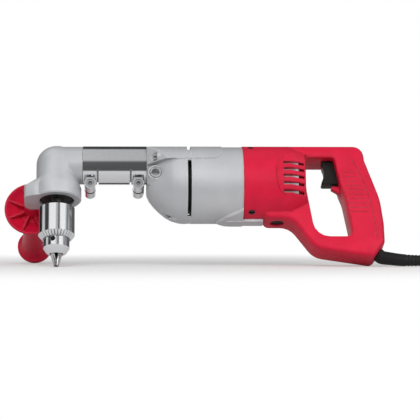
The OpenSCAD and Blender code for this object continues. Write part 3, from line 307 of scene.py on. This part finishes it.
def metal_finish(name, base, roughness, brushing, marking=1.0):
    """Bare or plated metal with fine tool marks, fainter for a smaller marking, and painted shade in narrow
    hollows.
    """
    material, nodes, links, shader, place = start_finish(name)
    marks = noise(nodes, links, place, scale=700, detail=2, stretch=brushing)
    skin = ramp(nodes, links, marks, shade(base, 1 - 0.08 * marking), shade(base, 1 + 0.03 * marking))
    # Painted shade: the colour darkens strongly in narrow hollows such as the gaps between the chuck's teeth.
    crevice_shade = spread(nodes, links, open_to_light(nodes, links, depth=0.005), low=0.75, high=0.0)
    links.new(toward(nodes, links, crevice_shade, skin, shade(base, 0.12)), shader.inputs["Base Color"])
    finest, coarsest = roughness * (1 - 0.2 * marking), roughness * (1 + 0.3 * marking)
    links.new(spread(nodes, links, marks, finest, coarsest), shader.inputs["Roughness"])
    grain(nodes, links, shader, marks, depth=0.00002 * marking, rounding=METAL_EDGE)
    shader.inputs["Metallic"].default_value = 1.0
    return material


def wound_finish(name, base, roughness, spacing, metallic):
    """Stacked sheets or wound wire, as fine bands along the motor axis."""
    material, nodes, links, shader, place = start_finish(name)
    bands = nodes.new("ShaderNodeTexWave")
    bands.bands_direction = "X"
    bands.inputs["Scale"].default_value = 1 / (spacing * WAVE_RATE)
    bands.inputs["Distortion"].default_value = 0.4
    links.new(place, bands.inputs["Vector"])
    skin = ramp(nodes, links, bands.outputs["Fac"], shade(base, 0.6), base, start=0.2, end=0.8)
    links.new(skin, shader.inputs["Base Color"])
    grain(nodes, links, shader, bands.outputs["Fac"], depth=spacing * 0.2)
    shader.inputs["Roughness"].default_value = roughness
    shader.inputs["Metallic"].default_value = metallic
    return material


def make_finishes():
    """Every finish, by the record's slot."""
    c = colours()
    return {
        "red_plastic": plastic_finish("moulded_red", c.red, 0.42, texture=0.00006, rounding=0.003),
        "black_plastic": plastic_finish("moulded_black", c.black, 0.42, texture=0.0001, rounding=0.0008),
        "cast_alloy": cast_finish("cast_grey", c.grey, rounding=0.0012),
        "chrome_steel": metal_finish("chrome", c.chrome, 0.12, UP_CHUCK, marking=0.3),
        "bare_steel": metal_finish("bright_steel", c.steel, 0.24, EVEN),
        "black_steel": metal_finish("black_oxide", shade(c.steel, 0.09), 0.4, EVEN),
        "gear_steel": metal_finish("gear_steel", shade(c.steel, 0.75), 0.34, ALONG_TUBE),
        "core_steel": wound_finish("core_sheets", shade(c.steel, 0.4), 0.45, spacing=0.0007, metallic=0.8),
        "copper": wound_finish("copper_wire", c.copper, 0.35, spacing=0.0009, metallic=0.9),
        "carbon": plastic_finish("carbon", shade(c.black, 1.6), 0.6, texture=0.0001),
        "brass": metal_finish("brass", c.brass, 0.25, EVEN),
        "cord_rubber": plastic_finish("rubber", c.rubber, 0.5, texture=0.00008),
    }


FINISHES = {}


def give_finish(piece, slot):
    """Puts one finish on a piece."""
    piece.data.materials.clear()
    piece.data.materials.append(FINISHES[slot])


# Ways of modelling

# Faces that meet at more than this many degrees keep a sharp edge
SHARP_EDGE = 28


def only(piece):
    """Selects one piece alone and makes it the active one."""
    bpy.ops.object.select_all(action="DESELECT")
    piece.select_set(True)
    bpy.context.view_layer.objects.active = piece


def copy_solid(node, name):
    """A new piece, left selected, that starts as the solid's own shape with its loose triangles joined."""
    piece = bpy.data.objects.new(name, frame["nodes"][node].data.copy())
    bpy.context.scene.collection.objects.link(piece)
    only(piece)
    bpy.ops.object.mode_set(mode="EDIT")
    bpy.ops.mesh.select_all(action="SELECT")
    bpy.ops.mesh.remove_doubles(threshold=WELD)
    bpy.ops.object.mode_set(mode="OBJECT")
    bpy.ops.mesh.customdata_custom_splitnormals_clear()
    return piece


def cut(piece, cutter):
    """Takes the cutter's shape out of the piece and removes the cutter."""
    only(piece)
    change = piece.modifiers.new("cut", "BOOLEAN")
    change.operation = "DIFFERENCE"
    change.solver = "EXACT"
    change.object = cutter
    bpy.ops.object.modifier_apply(modifier=change.name)
    bpy.data.objects.remove(cutter)


def join(pieces):
    """Makes one piece of several."""
    only(pieces[0])
    for piece in pieces[1:]:
        piece.select_set(True)
    bpy.ops.object.join()
    return bpy.context.object


def settle(piece, name, slot, body, sharp=35):
    """Finishes a piece: its name, smooth shading up to an angle, its finish and the body that it rides on."""
    piece.name = name
    piece.data.name = name
    only(piece)
    bpy.ops.object.shade_smooth_by_angle(angle=math.radians(sharp))
    give_finish(piece, slot)
    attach(piece, body)


def bake_place(piece):
    """Writes a piece's place, turn and scale into its points."""
    only(piece)
    bpy.ops.object.transform_apply(location=True, rotation=True, scale=True)
    return piece


def stand_up(piece):
    """Moves a piece drawn in the tool frame to where the tool stands."""
    bake_place(piece)
    piece.data.transform(tool_matrix())
    return piece


def add_box(place, size, tilt=0.0):
    """A box about a place, tilted about X."""
    bpy.ops.object.select_all(action="DESELECT")
    bpy.ops.mesh.primitive_cube_add(size=1, location=place, rotation=(tilt, 0, 0), scale=size)
    return bpy.context.object


def turned(points, steps=48):
    """A piece turned about its own Z axis from a line of (radius, height) points in millimetres."""
    bpy.ops.object.select_all(action="DESELECT")
    bpy.ops.mesh.primitive_plane_add(size=MM, location=(0, 0, 0))
    piece = bpy.context.object
    bpy.ops.object.mode_set(mode="EDIT")
    bpy.ops.mesh.select_all(action="SELECT")
    bpy.ops.mesh.merge(type="CENTER")
    bpy.ops.transform.translate(value=(points[0][0] * MM, 0, points[0][1] * MM))
    place = Vector((points[0][0], 0, points[0][1]))
    for r, height in points[1:]:
        ahead = Vector((r, 0, height))
        bpy.ops.mesh.extrude_vertices_move(TRANSFORM_OT_translate={"value": (ahead - place) * MM})
        place = ahead
    bpy.ops.mesh.select_all(action="SELECT")
    bpy.ops.mesh.spin(steps=steps, angle=2 * math.pi, center=(0, 0, 0), axis=(0, 0, 1))
    bpy.ops.mesh.select_all(action="SELECT")
    bpy.ops.mesh.remove_doubles(threshold=SEAM_WELD)
    bpy.ops.mesh.normals_make_consistent(inside=False)
    bpy.ops.object.mode_set(mode="OBJECT")
    return piece


# The lead's route


def smooth_route(points, steps):
    """A smooth line through all the points, as short straight runs."""
    route = []
    for i in range(len(points) - 1):
        before = points[max(i - 1, 0)]
        here, ahead = points[i], points[i + 1]
        after = points[min(i + 2, len(points) - 1)]
        for k in range(steps):
            t = k / steps
            route.append(0.5 * (2 * here + (ahead - before) * t
                                + (2 * before - 5 * here + 4 * ahead - after) * t ** 2
                                + (3 * here - before - 3 * ahead + after) * t ** 3))
    route.append(points[-1])
    return route


# The middle of the heel's face in the tool frame, in millimetres, and the way that the lead leaves it
HEEL_MID = Vector((380.8, 0, -115.07))
HEEL_OUT = Vector((19, 0, -14.4)).normalized()
# Distances from the heel's face, inside the handle and outside it
BOOT_ROOT = -13
HEEL_STEP = 6
# Places of the boot and of the lead past it, in millimetres
BOOT_GROUND = [(233, -89.5, 9.2), (246, -90.6, 7.7), (259, -91, 7.1), (270, -91, 7.0)]
LEAD_GROUND = [(282, -91, 6.6), (298, -91, 6.4), (316, -91, 6.4), (334, -91, 6.4), (352, -91, 6.4)]
COIL_STEPS = 24
# Turns over which the coil climbs to its upper layer, and over which its end leaves it
CLIMB_TURNS = 0.5
TAIL_TURNS = 0.25


def heel_point(out):
    """A place on the lead's way out of the heel, by its distance from the heel's face."""
    return tool_point(*(HEEL_MID + out * HEEL_OUT))


def lead_start():
    """The places of the lead from the heel to the start of its coil."""
    ground = [Vector(p) * MM for p in BOOT_GROUND + LEAD_GROUND]
    return [heel_point(0), heel_point(HEEL_STEP)] + ground


def ease(t):
    """A share from 0 to 1 that starts and ends gently."""
    return t * t * (3 - 2 * t)


def coil_point(turn):
    """A place in the coil: it winds inwards on the floor, climbs one layer and winds out again."""
    s = sizes()
    half = s.coil_turns / 2
    inward = turn if turn < half else s.coil_turns - turn
    r = s.coil_r - s.coil_pitch * inward
    climb = max(0, min(1, (turn - half + CLIMB_TURNS / 2) / CLIMB_TURNS))
    fall = ease(max(0, 1 - (s.coil_turns - turn) / TAIL_TURNS))
    r += s.tail_spread * fall
    start = Vector(LEAD_GROUND[-1]) * MM
    centre = start + Vector((s.cord_d, s.coil_r, 0))
    angle = 2 * math.pi * turn
    height = s.coil_pitch * climb - s.tail_drop * fall
    return centre + Vector((r * math.sin(angle), -r * math.cos(angle), height))


def lead_route():
    """The whole middle line of the lead, from the heel to the plug."""
    s = sizes()
    coil = [coil_point(i / COIL_STEPS) for i in range(int(s.coil_turns * COIL_STEPS) + 1)]
    end = coil[-1] - Vector((s.plug_gap, 0, 0))
    return smooth_route(lead_start(), steps=6) + coil + [end]


def add_line(name, route, radius, radii=None, detail=4):
    """A round line along the route, thicker or thinner where radii are given."""
    bpy.ops.object.select_all(action="DESELECT")
    curve = bpy.data.curves.new(name, "CURVE")
    curve.dimensions = "3D"
    curve.bevel_depth = radius
    curve.bevel_resolution = detail
    curve.use_fill_caps = True
    line = curve.splines.new("POLY")
    line.points.add(len(route) - 1)
    for i, place in enumerate(route):
        line.points[i].co = (*place, 1)
        line.points[i].radius = radii[i] / radius if radii else 1
    piece = bpy.data.objects.new(name, curve)
    bpy.context.scene.collection.objects.link(piece)
    return piece


def as_mesh(line):
    """Makes a mesh of a line."""
    only(line)
    bpy.ops.object.convert(target="MESH")
    return bpy.context.object


# The plug in millimetres: stations of its grooves, with the radius that the neck's rings are cut to
PLUG_R = 11.5
NECK_RINGS = [(2.2, 5.6), (4.8, 6), (7.4, 6.4)]
RING_HALF = 0.6
PLUG_GRIPS = [19, 21.6, 24.2, 26.8, 29.4]
GRIP_BAR = (1.3, 2.2, 16)


class DRILL_OT_plug(bpy.types.Operator):
    """Cut the grip grooves and the neck rings of the plug"""

    bl_idname = "drill.plug"
    bl_label = "Plug"

    def execute(self, context):
        start = lead_route()[-1]
        plug = copy_solid("plug_body", "plug_shell")
        rings = [self.add_ring(start, station, r) for station, r in NECK_RINGS]
        bars = [self.add_bar(start, station, side) for station in PLUG_GRIPS for side in (-1, 1)]
        cut(plug, join(rings + bars))
        settle(plug, "plug_shell", "black_plastic", "drill", sharp=30)
        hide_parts("plug_body")
        return {"FINISHED"}

    def add_ring(self, start, station, r):
        """A square ring round the neck, down to a radius."""
        low, high = -RING_HALF, RING_HALF
        ring = turned([(r, low), (PLUG_R, low), (PLUG_R, high), (r, high), (r, low)])
        ring.rotation_euler = (0, math.radians(-90), 0)
        ring.location = start - Vector((station * MM, 0, 0))
        return bake_place(ring)

    def add_bar(self, start, station, side):
        """A bar across one flank of the plug."""
        place = start + Vector((-station, side * PLUG_R, 0)) * MM
        return bake_place(add_box(place, [edge * MM for edge in GRIP_BAR]))


# The boot in millimetres, with the shares of its length from which it tapers and has rings
BOOT_R = 8.2
BOOT_MEAN_R = 8
BOOT_TAPER = 1.8
TAPER_FROM = 0.3
RINGS_FROM = 0.72
RING_DEPTH = 0.5


class DRILL_OT_lead(bpy.types.Operator):
    """Lay the mains lead along its route, with its boot at the heel"""

    bl_idname = "drill.lead"
    bl_label = "Mains Lead"

    def execute(self, context):
        s = sizes()
        route = lead_route()
        lead = add_line("lead", route, s.cord_d / 2)
        give_finish(lead, "cord_rubber")
        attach(lead, "drill")
        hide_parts("cord_lead", "cord_coil")
        boot = self.add_boot()
        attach(boot, "drill")
        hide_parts("cord_boot")
        return {"FINISHED"}

    def add_boot(self):
        """The tapered boot, with shallow rings towards its thin end."""
        ground = [Vector(p) * MM for p in BOOT_GROUND]
        route = smooth_route([heel_point(BOOT_ROOT), heel_point(0), heel_point(HEEL_STEP)] + ground, steps=12)
        last = len(route) - 1
        radii = []
        for i in range(len(route)):
            along = i / last
            r = BOOT_R - BOOT_TAPER * max(0, along - TAPER_FROM) / (1 - TAPER_FROM)
            ring = RING_DEPTH if along > RINGS_FROM and (i // 2) % 2 else 0
            radii.append((r - ring) * MM)
        boot = as_mesh(add_line("lead_boot", route, BOOT_MEAN_R * MM, radii, detail=8))
        bpy.ops.object.shade_smooth_by_angle(angle=math.radians(40))
        give_finish(boot, "black_plastic")
        return boot


class DRILL_OT_carry_over(bpy.types.Operator):
    """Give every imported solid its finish"""

    bl_idname = "drill.carry_over"
    bl_label = "Finishes of the Solids"

    def execute(self, context):
        FINISHES.update(make_finishes())
        for part in frame["record"]["subparts"]:
            solid = frame["nodes"][part["node"]]
            give_finish(solid, part["material_slot"])
            self.soften(solid)
        return {"FINISHED"}

    def soften(self, solid):
        """Joins the solid's loose triangles for shading and keeps its sharp edges."""
        only(solid)
        bpy.ops.object.shade_smooth()
        weld = solid.modifiers.new("weld", "WELD")
        weld.merge_threshold = WELD
        edges = solid.modifiers.new("edges", "EDGE_SPLIT")
        edges.split_angle = math.radians(SHARP_EDGE)


# Places on the handle's side, as (x, z) of the tool frame in millimetres
BACK_CREASE = [(352.9, -2), (360.3, -15.2), (367.6, -34.9), (372.4, -54.7), (376, -75.8), (378.5, -102)]
CREASE_R = 0.8
RIB_TOP = -17.5
RIB_STEP = 5.6
RIB_COUNT = 10
RIB_W = 1.1
# The ribs run from this line, which leans back below a height, to short of the crease
RIB_FRONT = 341.5
RIB_BEND = -46
RIB_LEAN = 0.24
RIB_CLEAR = 4


def crease_x(z):
    """Where the crease on the back of the grip runs at a height."""
    for (x0, z0), (x1, z1) in zip(BACK_CREASE, BACK_CREASE[1:]):
        if z >= z1:
            return x0 + (x1 - x0) * (z - z0) / (z1 - z0)
    return BACK_CREASE[-1][0]


class DRILL_OT_handle_shells(bpy.types.Operator):
    """Mould the grip ribs and the back crease into both handle shells"""

    bl_idname = "drill.handle_shells"
    bl_label = "Handle Shells"

    def execute(self, context):
        for side, node, name in ((-1, "handle_shell_near", "grip_shell_near"),
                                 (1, "handle_shell_far", "grip_shell_far")):
            shell = copy_solid(node, name)
            cut(shell, join([self.add_crease(side)] + self.add_ribs(side)))
            settle(shell, name, "red_plastic", "drill", sharp=SHARP_EDGE)
            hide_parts(node)
        return {"FINISHED"}

    def add_ribs(self, side):
        """Fine grooves across the grip, as square bars turned on edge."""
        bars = []
        for k in range(RIB_COUNT):
            z = RIB_TOP - k * RIB_STEP
            front = RIB_FRONT + max(0, RIB_BEND - z) * RIB_LEAN
            back = crease_x(z) - RIB_CLEAR
            place = ((front + back) / 2 * MM, side * sizes().grip_half, z * MM)
            size = ((back - front) * MM, RIB_W * MM, RIB_W * MM)
            bars.append(stand_up(add_box(place, size, tilt=math.radians(45))))
        return bars

    def add_crease(self, side):
        """The long crease between the side of the grip and its back."""
        places = [Vector((x * MM, side * sizes().grip_half, z * MM)) for x, z in BACK_CREASE]
        return stand_up(as_mesh(add_line("crease", smooth_route(places, steps=6), CREASE_R * MM, detail=1)))


# The motor's round cover in millimetres, and places on its side as (x, z) of the tool frame
COVER_R = 46.8
MOTOR_DROP = 26
VENT_RIDGE = [(268.5, -6.5), (263.7, -11.5), (260.6, -20), (259.9, -30), (261.5, -41), (265.5, -49.5),
              (271, -54)]
RIDGE_R = 1.3
RIDGE_SINK = 0.3
# How blunt the ridge's ends are: 0 keeps the full radius to the end
RIDGE_BLUNT = 0.35


class DRILL_OT_vent_ridges(bpy.types.Operator):
    """Raise the curved ridge in front of the handle's vents"""

    bl_idname = "drill.vent_ridges"
    bl_label = "Vent Ridges"

    def execute(self, context):
        for side, name in ((-1, "vent_ridge_near"), (1, "vent_ridge_far")):
            route = smooth_route([self.on_cover(x, z, side) for x, z in VENT_RIDGE], steps=8)
            shares = [(i + 1) / (len(route) + 1) for i in range(len(route))]
            radii = [RIDGE_R * MM * math.sin(math.pi * share) ** RIDGE_BLUNT for share in shares]
            ridge = as_mesh(add_line(name, route, MM, radii))
            settle(stand_up(ridge), name, "red_plastic", "drill")
        return {"FINISHED"}

    def on_cover(self, x, z, side):
        """A place on the round cover of the motor."""
        across = math.sqrt(COVER_R ** 2 - (z + MOTOR_DROP) ** 2) - RIDGE_SINK
        return Vector((x, side * across, z)) * MM


# The middle of the far socket's mouth in the tool frame, and a bush as (radius, height), in millimetres
SOCKET = (117, 31.5, -22)
BUSH_PROFILE = [(5.1, -6), (5.4, -5.4), (5.1, -4.8), (5.4, -4.2), (5.1, -3.6), (5.4, -3), (5.1, -2.4),
                (5.4, -1.8), (5.2, -1.2), (6, 0.5), (7, 0.6), (7.5, 0.3), (7.5, -1), (5.1, -6)]


class DRILL_OT_socket_bushes(bpy.types.Operator):
    """Turn the bright threaded bushes of the side handle sockets"""

    bl_idname = "drill.socket_bushes"
    bl_label = "Socket Bushes"

    def execute(self, context):
        for side, name in ((-1, "socket_bush_near"), (1, "socket_bush_far")):
            bush = turned(BUSH_PROFILE)
            bush.rotation_euler = (math.radians(-90 * side), 0, 0)
            bush.location = Vector((SOCKET[0], side * SOCKET[1], SOCKET[2])) * MM
            settle(stand_up(bush), name, "bare_steel", "drill")
        return {"FINISHED"}


# The rounding of the trigger's edges in millimetres, and the least angle of an edge that gets it
TRIGGER_EDGE = 1.6
TRIGGER_EDGE_ANGLE = math.radians(60)


class DRILL_OT_trigger(bpy.types.Operator):
    """Round the edges of the trigger"""

    bl_idname = "drill.trigger"
    bl_label = "Trigger"

    def execute(self, context):
        piece = copy_solid("trigger", "trigger_blade")
        bpy.ops.object.mode_set(mode="EDIT")
        bpy.ops.mesh.select_all(action="SELECT")
        bpy.ops.mesh.dissolve_limited(angle_limit=math.radians(1))
        bpy.ops.object.mode_set(mode="OBJECT")
        edge = piece.modifiers.new("edge", "BEVEL")
        edge.width = TRIGGER_EDGE * MM
        edge.segments = 4
        edge.limit_method = "ANGLE"
        edge.angle_limit = TRIGGER_EDGE_ANGLE
        bpy.ops.object.modifier_apply(modifier=edge.name)
        settle(piece, "trigger_blade", "black_plastic", "trigger", sharp=40)
        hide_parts("trigger")
        return {"FINISHED"}


FLOOR_SIZE = 12
PAPER = (0.86, 0.86, 0.86, 1)
# How much the floor glows under the tool, and the distances between which the glow grows to full
GLOW_UNDER = 0.25
GLOW_REACH = (0.2, 0.7)
# Where, along Y in front of the tool, the floor starts to show dark in metal, and how dark it shows: a
# painted dark reflection, as the floor itself runs on unchanged
DARK_REFLECTION_Y = (-0.19, -0.27)
DARK_REFLECTION_LEVEL = 0.9
EVEN_LIGHT = 0.45
# How bright the studio is, from left to right, as (X of the direction, level)
STUDIO = [(-0.91, 0.7), (-0.9, 0.05), (-0.72, 0.05), (-0.66, 1), (-0.1, 1), (0, 0.5), (0.15, 0.5),
          (0.2, 0.12), (0.32, 0.12), (0.36, 1), (0.78, 1), (0.86, 0.3), (0.91, 0.1)]
# From none to all of the room past the screens and of the backdrop, by the Y of the direction
PAST_SCREENS = (0.35, 0.5)
BACKDROP = (0.95, 0.995)
# From none to all of the room under the camera, by the Y and the Z of the direction
CAMERA_SIDE = (-0.55, -0.85)
LOW = (0.58, 0.3)
LEVEL_PAST_SCREENS = 0.12
LEVEL_LOW = 0.2
# Lamps, as name, place, size, power and whether metal shows them
LAMPS = [("key", (-0.3, -1.6, 1.0), 1.3, 20, False), ("fill", (1.2, -1.5, 0.7), 1.2, 9, True)]
LAMP_AIM = Vector((0.02, 0, 0.07))
CAMERA_AIM = Vector((0.0216, -0.0426, 0.067))
CAMERA_YAW = math.radians(3)
CAMERA_DISTANCE = 2.5
CAMERA_LENS = 178


class DRILL_OT_stage(bpy.types.Operator):
    """Set the floor, the lights and the camera"""

    bl_idname = "drill.stage"
    bl_label = "Stage"

    def execute(self, context):
        self.add_floor()
        self.add_world()
        for lamp in LAMPS:
            self.add_lamp(*lamp)
        self.add_camera()
        context.scene.view_settings.view_transform = "Standard"
        return {"FINISHED"}

    def add_floor(self):
        """A pale floor that keeps the shadow and is white where the light reaches it."""
        bpy.ops.object.select_all(action="DESELECT")
        bpy.ops.mesh.primitive_plane_add(size=FLOOR_SIZE, location=(0, 0, 0))
        floor = bpy.context.object
        floor.name = "floor"
        material = bpy.data.materials.new("floor_paper")
        material.use_nodes = True
        nodes, links = material.node_tree.nodes, material.node_tree.links
        shader = nodes["Principled BSDF"]
        shader.inputs["Base Color"].default_value = PAPER
        shader.inputs["Roughness"].default_value = 0.9
        glow = nodes.new("ShaderNodeEmission")
        links.new(self.seen(nodes, links), glow.inputs["Strength"])
        both = nodes.new("ShaderNodeMixShader")
        share = figure(nodes, links, "MAXIMUM", self.far_off(nodes, links), self.painted_reflection_mask(nodes, links))
        links.new(share, both.inputs["Fac"])
        links.new(shader.outputs["BSDF"], both.inputs[1])
        links.new(glow.outputs["Emission"], both.inputs[2])
        links.new(both.outputs["Shader"], nodes["Material Output"].inputs["Surface"])
        floor.data.materials.append(material)

    def views(self, nodes, links):
        """What is seen straight or through clear things, what metal shows, and the two together."""
        path = nodes.new("ShaderNodeLightPath")
        through = path.outputs["Is Transmission Ray"]
        plain = figure(nodes, links, "MAXIMUM", path.outputs["Is Camera Ray"], through)
        shown = path.outputs["Is Glossy Ray"]
        return plain, shown, figure(nodes, links, "MAXIMUM", plain, shown)

    def far_off(self, nodes, links):
        """Little under the tool, or none in what metal shows there, and everything well away from it."""
        path = nodes.new("ShaderNodeLightPath")
        place = nodes.new("ShaderNodeTexCoord")
        away = nodes.new("ShaderNodeVectorMath")
        away.operation = "LENGTH"
        links.new(place.outputs["Object"], away.inputs[0])
        far = fade(nodes, links, away.outputs["Value"], *GLOW_REACH)
        under = spread(nodes, links, far, low=GLOW_UNDER, high=0.0)
        left_out = figure(nodes, links, "MULTIPLY", path.outputs["Is Glossy Ray"], under)
        return figure(nodes, links, "SUBTRACT", spread(nodes, links, far, low=GLOW_UNDER, high=1.0), left_out)

    def painted_reflection_mask(self, nodes, links):
        """Where metal shows the floor on the camera's side, a mask for its painted dark reflection; the floor
        itself runs on unchanged.
        """
        path = nodes.new("ShaderNodeLightPath")
        place = nodes.new("ShaderNodeTexCoord")
        split = nodes.new("ShaderNodeSeparateXYZ")
        links.new(place.outputs["Object"], split.inputs["Vector"])
        past = fade(nodes, links, split.outputs["Y"], *DARK_REFLECTION_Y)
        return figure(nodes, links, "MULTIPLY", path.outputs["Is Glossy Ray"], past)

    def seen(self, nodes, links):
        """White where the floor is seen straight, and in metal short of where its painted dark reflection
        starts.
        """
        *_, both = self.views(nodes, links)
        dark = spread(nodes, links, self.painted_reflection_mask(nodes, links), low=0, high=DARK_REFLECTION_LEVEL)
        return figure(nodes, links, "SUBTRACT", both, dark)

    def add_world(self):
        """White where it is seen, the studio in what metal shows, and a soft even light elsewhere."""
        world = bpy.data.worlds.new("studio")
        bpy.context.scene.world = world
        world.use_nodes = True
        nodes, links = world.node_tree.nodes, world.node_tree.links
        plain, shown, both = self.views(nodes, links)
        mirrored = figure(nodes, links, "MULTIPLY", shown, self.studio(nodes, links))
        white = figure(nodes, links, "MAXIMUM", plain, mirrored)
        other = spread(nodes, links, both, low=EVEN_LIGHT, high=0.0)
        links.new(figure(nodes, links, "ADD", white, other), nodes["Background"].inputs["Strength"])
        nodes["Background"].inputs["Color"].default_value = (1, 1, 1, 1)

    def studio(self, nodes, links):
        """What metal shows, by direction: lamp screens in front, the dark room past them, white behind."""
        place = nodes.new("ShaderNodeTexCoord")
        split = nodes.new("ShaderNodeSeparateXYZ")
        links.new(place.outputs["Generated"], split.inputs["Vector"])
        across = nodes.new("ShaderNodeValToRGB")
        stops = across.color_ramp.elements
        positions = [(x + 1) / 2 for x, level in STUDIO]
        stops[0].position, stops[1].position = positions[0], positions[-1]
        for position in positions[1:-1]:
            stops.new(position)
        for stop, (x, level) in zip(stops, STUDIO):
            stop.color = (level, level, level, 1)
        links.new(spread(nodes, links, split.outputs["X"], low=0, high=1, start=-1), across.inputs["Fac"])
        past = fade(nodes, links, split.outputs["Y"], *PAST_SCREENS)
        dimmed = spread(nodes, links, past, low=1.0, high=LEVEL_PAST_SCREENS)
        screens = figure(nodes, links, "MULTIPLY", across.outputs["Color"], dimmed)
        behind = fade(nodes, links, split.outputs["Y"], *BACKDROP)
        bright = figure(nodes, links, "MAXIMUM", screens, behind)
        front = fade(nodes, links, split.outputs["Y"], *CAMERA_SIDE)
        low = fade(nodes, links, split.outputs["Z"], *LOW)
        room = figure(nodes, links, "MULTIPLY", front, low)
        return figure(nodes, links, "MULTIPLY", bright, spread(nodes, links, room, low=1.0, high=LEVEL_LOW))

    def add_lamp(self, name, place, size, power, mirrored):
        """A round lamp that points at the tool."""
        lamp = bpy.data.lights.new(name, "AREA")
        lamp.shape = "DISK"
        lamp.size = size
        lamp.energy = power
        stand = bpy.data.objects.new(name, lamp)
        bpy.context.scene.collection.objects.link(stand)
        stand.location = place
        stand.visible_glossy = mirrored
        stand.rotation_euler = (LAMP_AIM - Vector(place)).to_track_quat("-Z", "Y").to_euler()

    def add_camera(self):
        """Level with the tool and slightly towards its chuck end, from well back."""
        camera = bpy.data.cameras.new("camera")
        camera.sensor_width = 36
        camera.lens = CAMERA_LENS
        stand = bpy.data.objects.new("camera", camera)
        bpy.context.scene.collection.objects.link(stand)
        ahead = Vector((math.sin(CAMERA_YAW), math.cos(CAMERA_YAW), 0))
        stand.location = CAMERA_AIM - CAMERA_DISTANCE * ahead
        stand.rotation_euler = (CAMERA_AIM - stand.location).to_track_quat("-Z", "Y").to_euler()
        bpy.context.scene.camera = stand


class DRILL_PT_pieces(bpy.types.Panel):
    """Lists the pieces in the order in which they are made"""

    bl_idname = "DRILL_PT_pieces"
    bl_label = "Right Angle Drill"
    bl_space_type = "VIEW_3D"
    bl_region_type = "UI"
    bl_category = "Drill"

    def draw(self, context):
        for maker in MAKERS:
            self.layout.operator(maker.bl_idname)


MAKERS = (DRILL_OT_stage, DRILL_OT_carry_over, DRILL_OT_plug, DRILL_OT_lead, DRILL_OT_handle_shells,
          DRILL_OT_vent_ridges, DRILL_OT_socket_bushes, DRILL_OT_trigger)
CLASSES = (DrillSizes, DrillColours, *MAKERS, DRILL_PT_pieces)


def register():
    """Adds the sizes, the colours, the makers and their panel."""
    for cls in CLASSES:
        bpy.utils.register_class(cls)
    bpy.types.Scene.drill_sizes = bpy.props.PointerProperty(type=DrillSizes)
    bpy.types.Scene.drill_colours = bpy.props.PointerProperty(type=DrillColours)


def unregister():
    """Takes away what register added."""
    del bpy.types.Scene.drill_colours
    del bpy.types.Scene.drill_sizes
    for cls in reversed(CLASSES):
        bpy.utils.unregister_class(cls)


def main():
    """Makes the whole scene."""
    register()
    bpy.ops.drill.stage()
    bpy.ops.drill.carry_over()
    bpy.ops.drill.plug()
    bpy.ops.drill.lead()
    bpy.ops.drill.handle_shells()
    bpy.ops.drill.vent_ridges()
    bpy.ops.drill.socket_bushes()
    bpy.ops.drill.trigger()


if __name__ == "__main__":
    main()
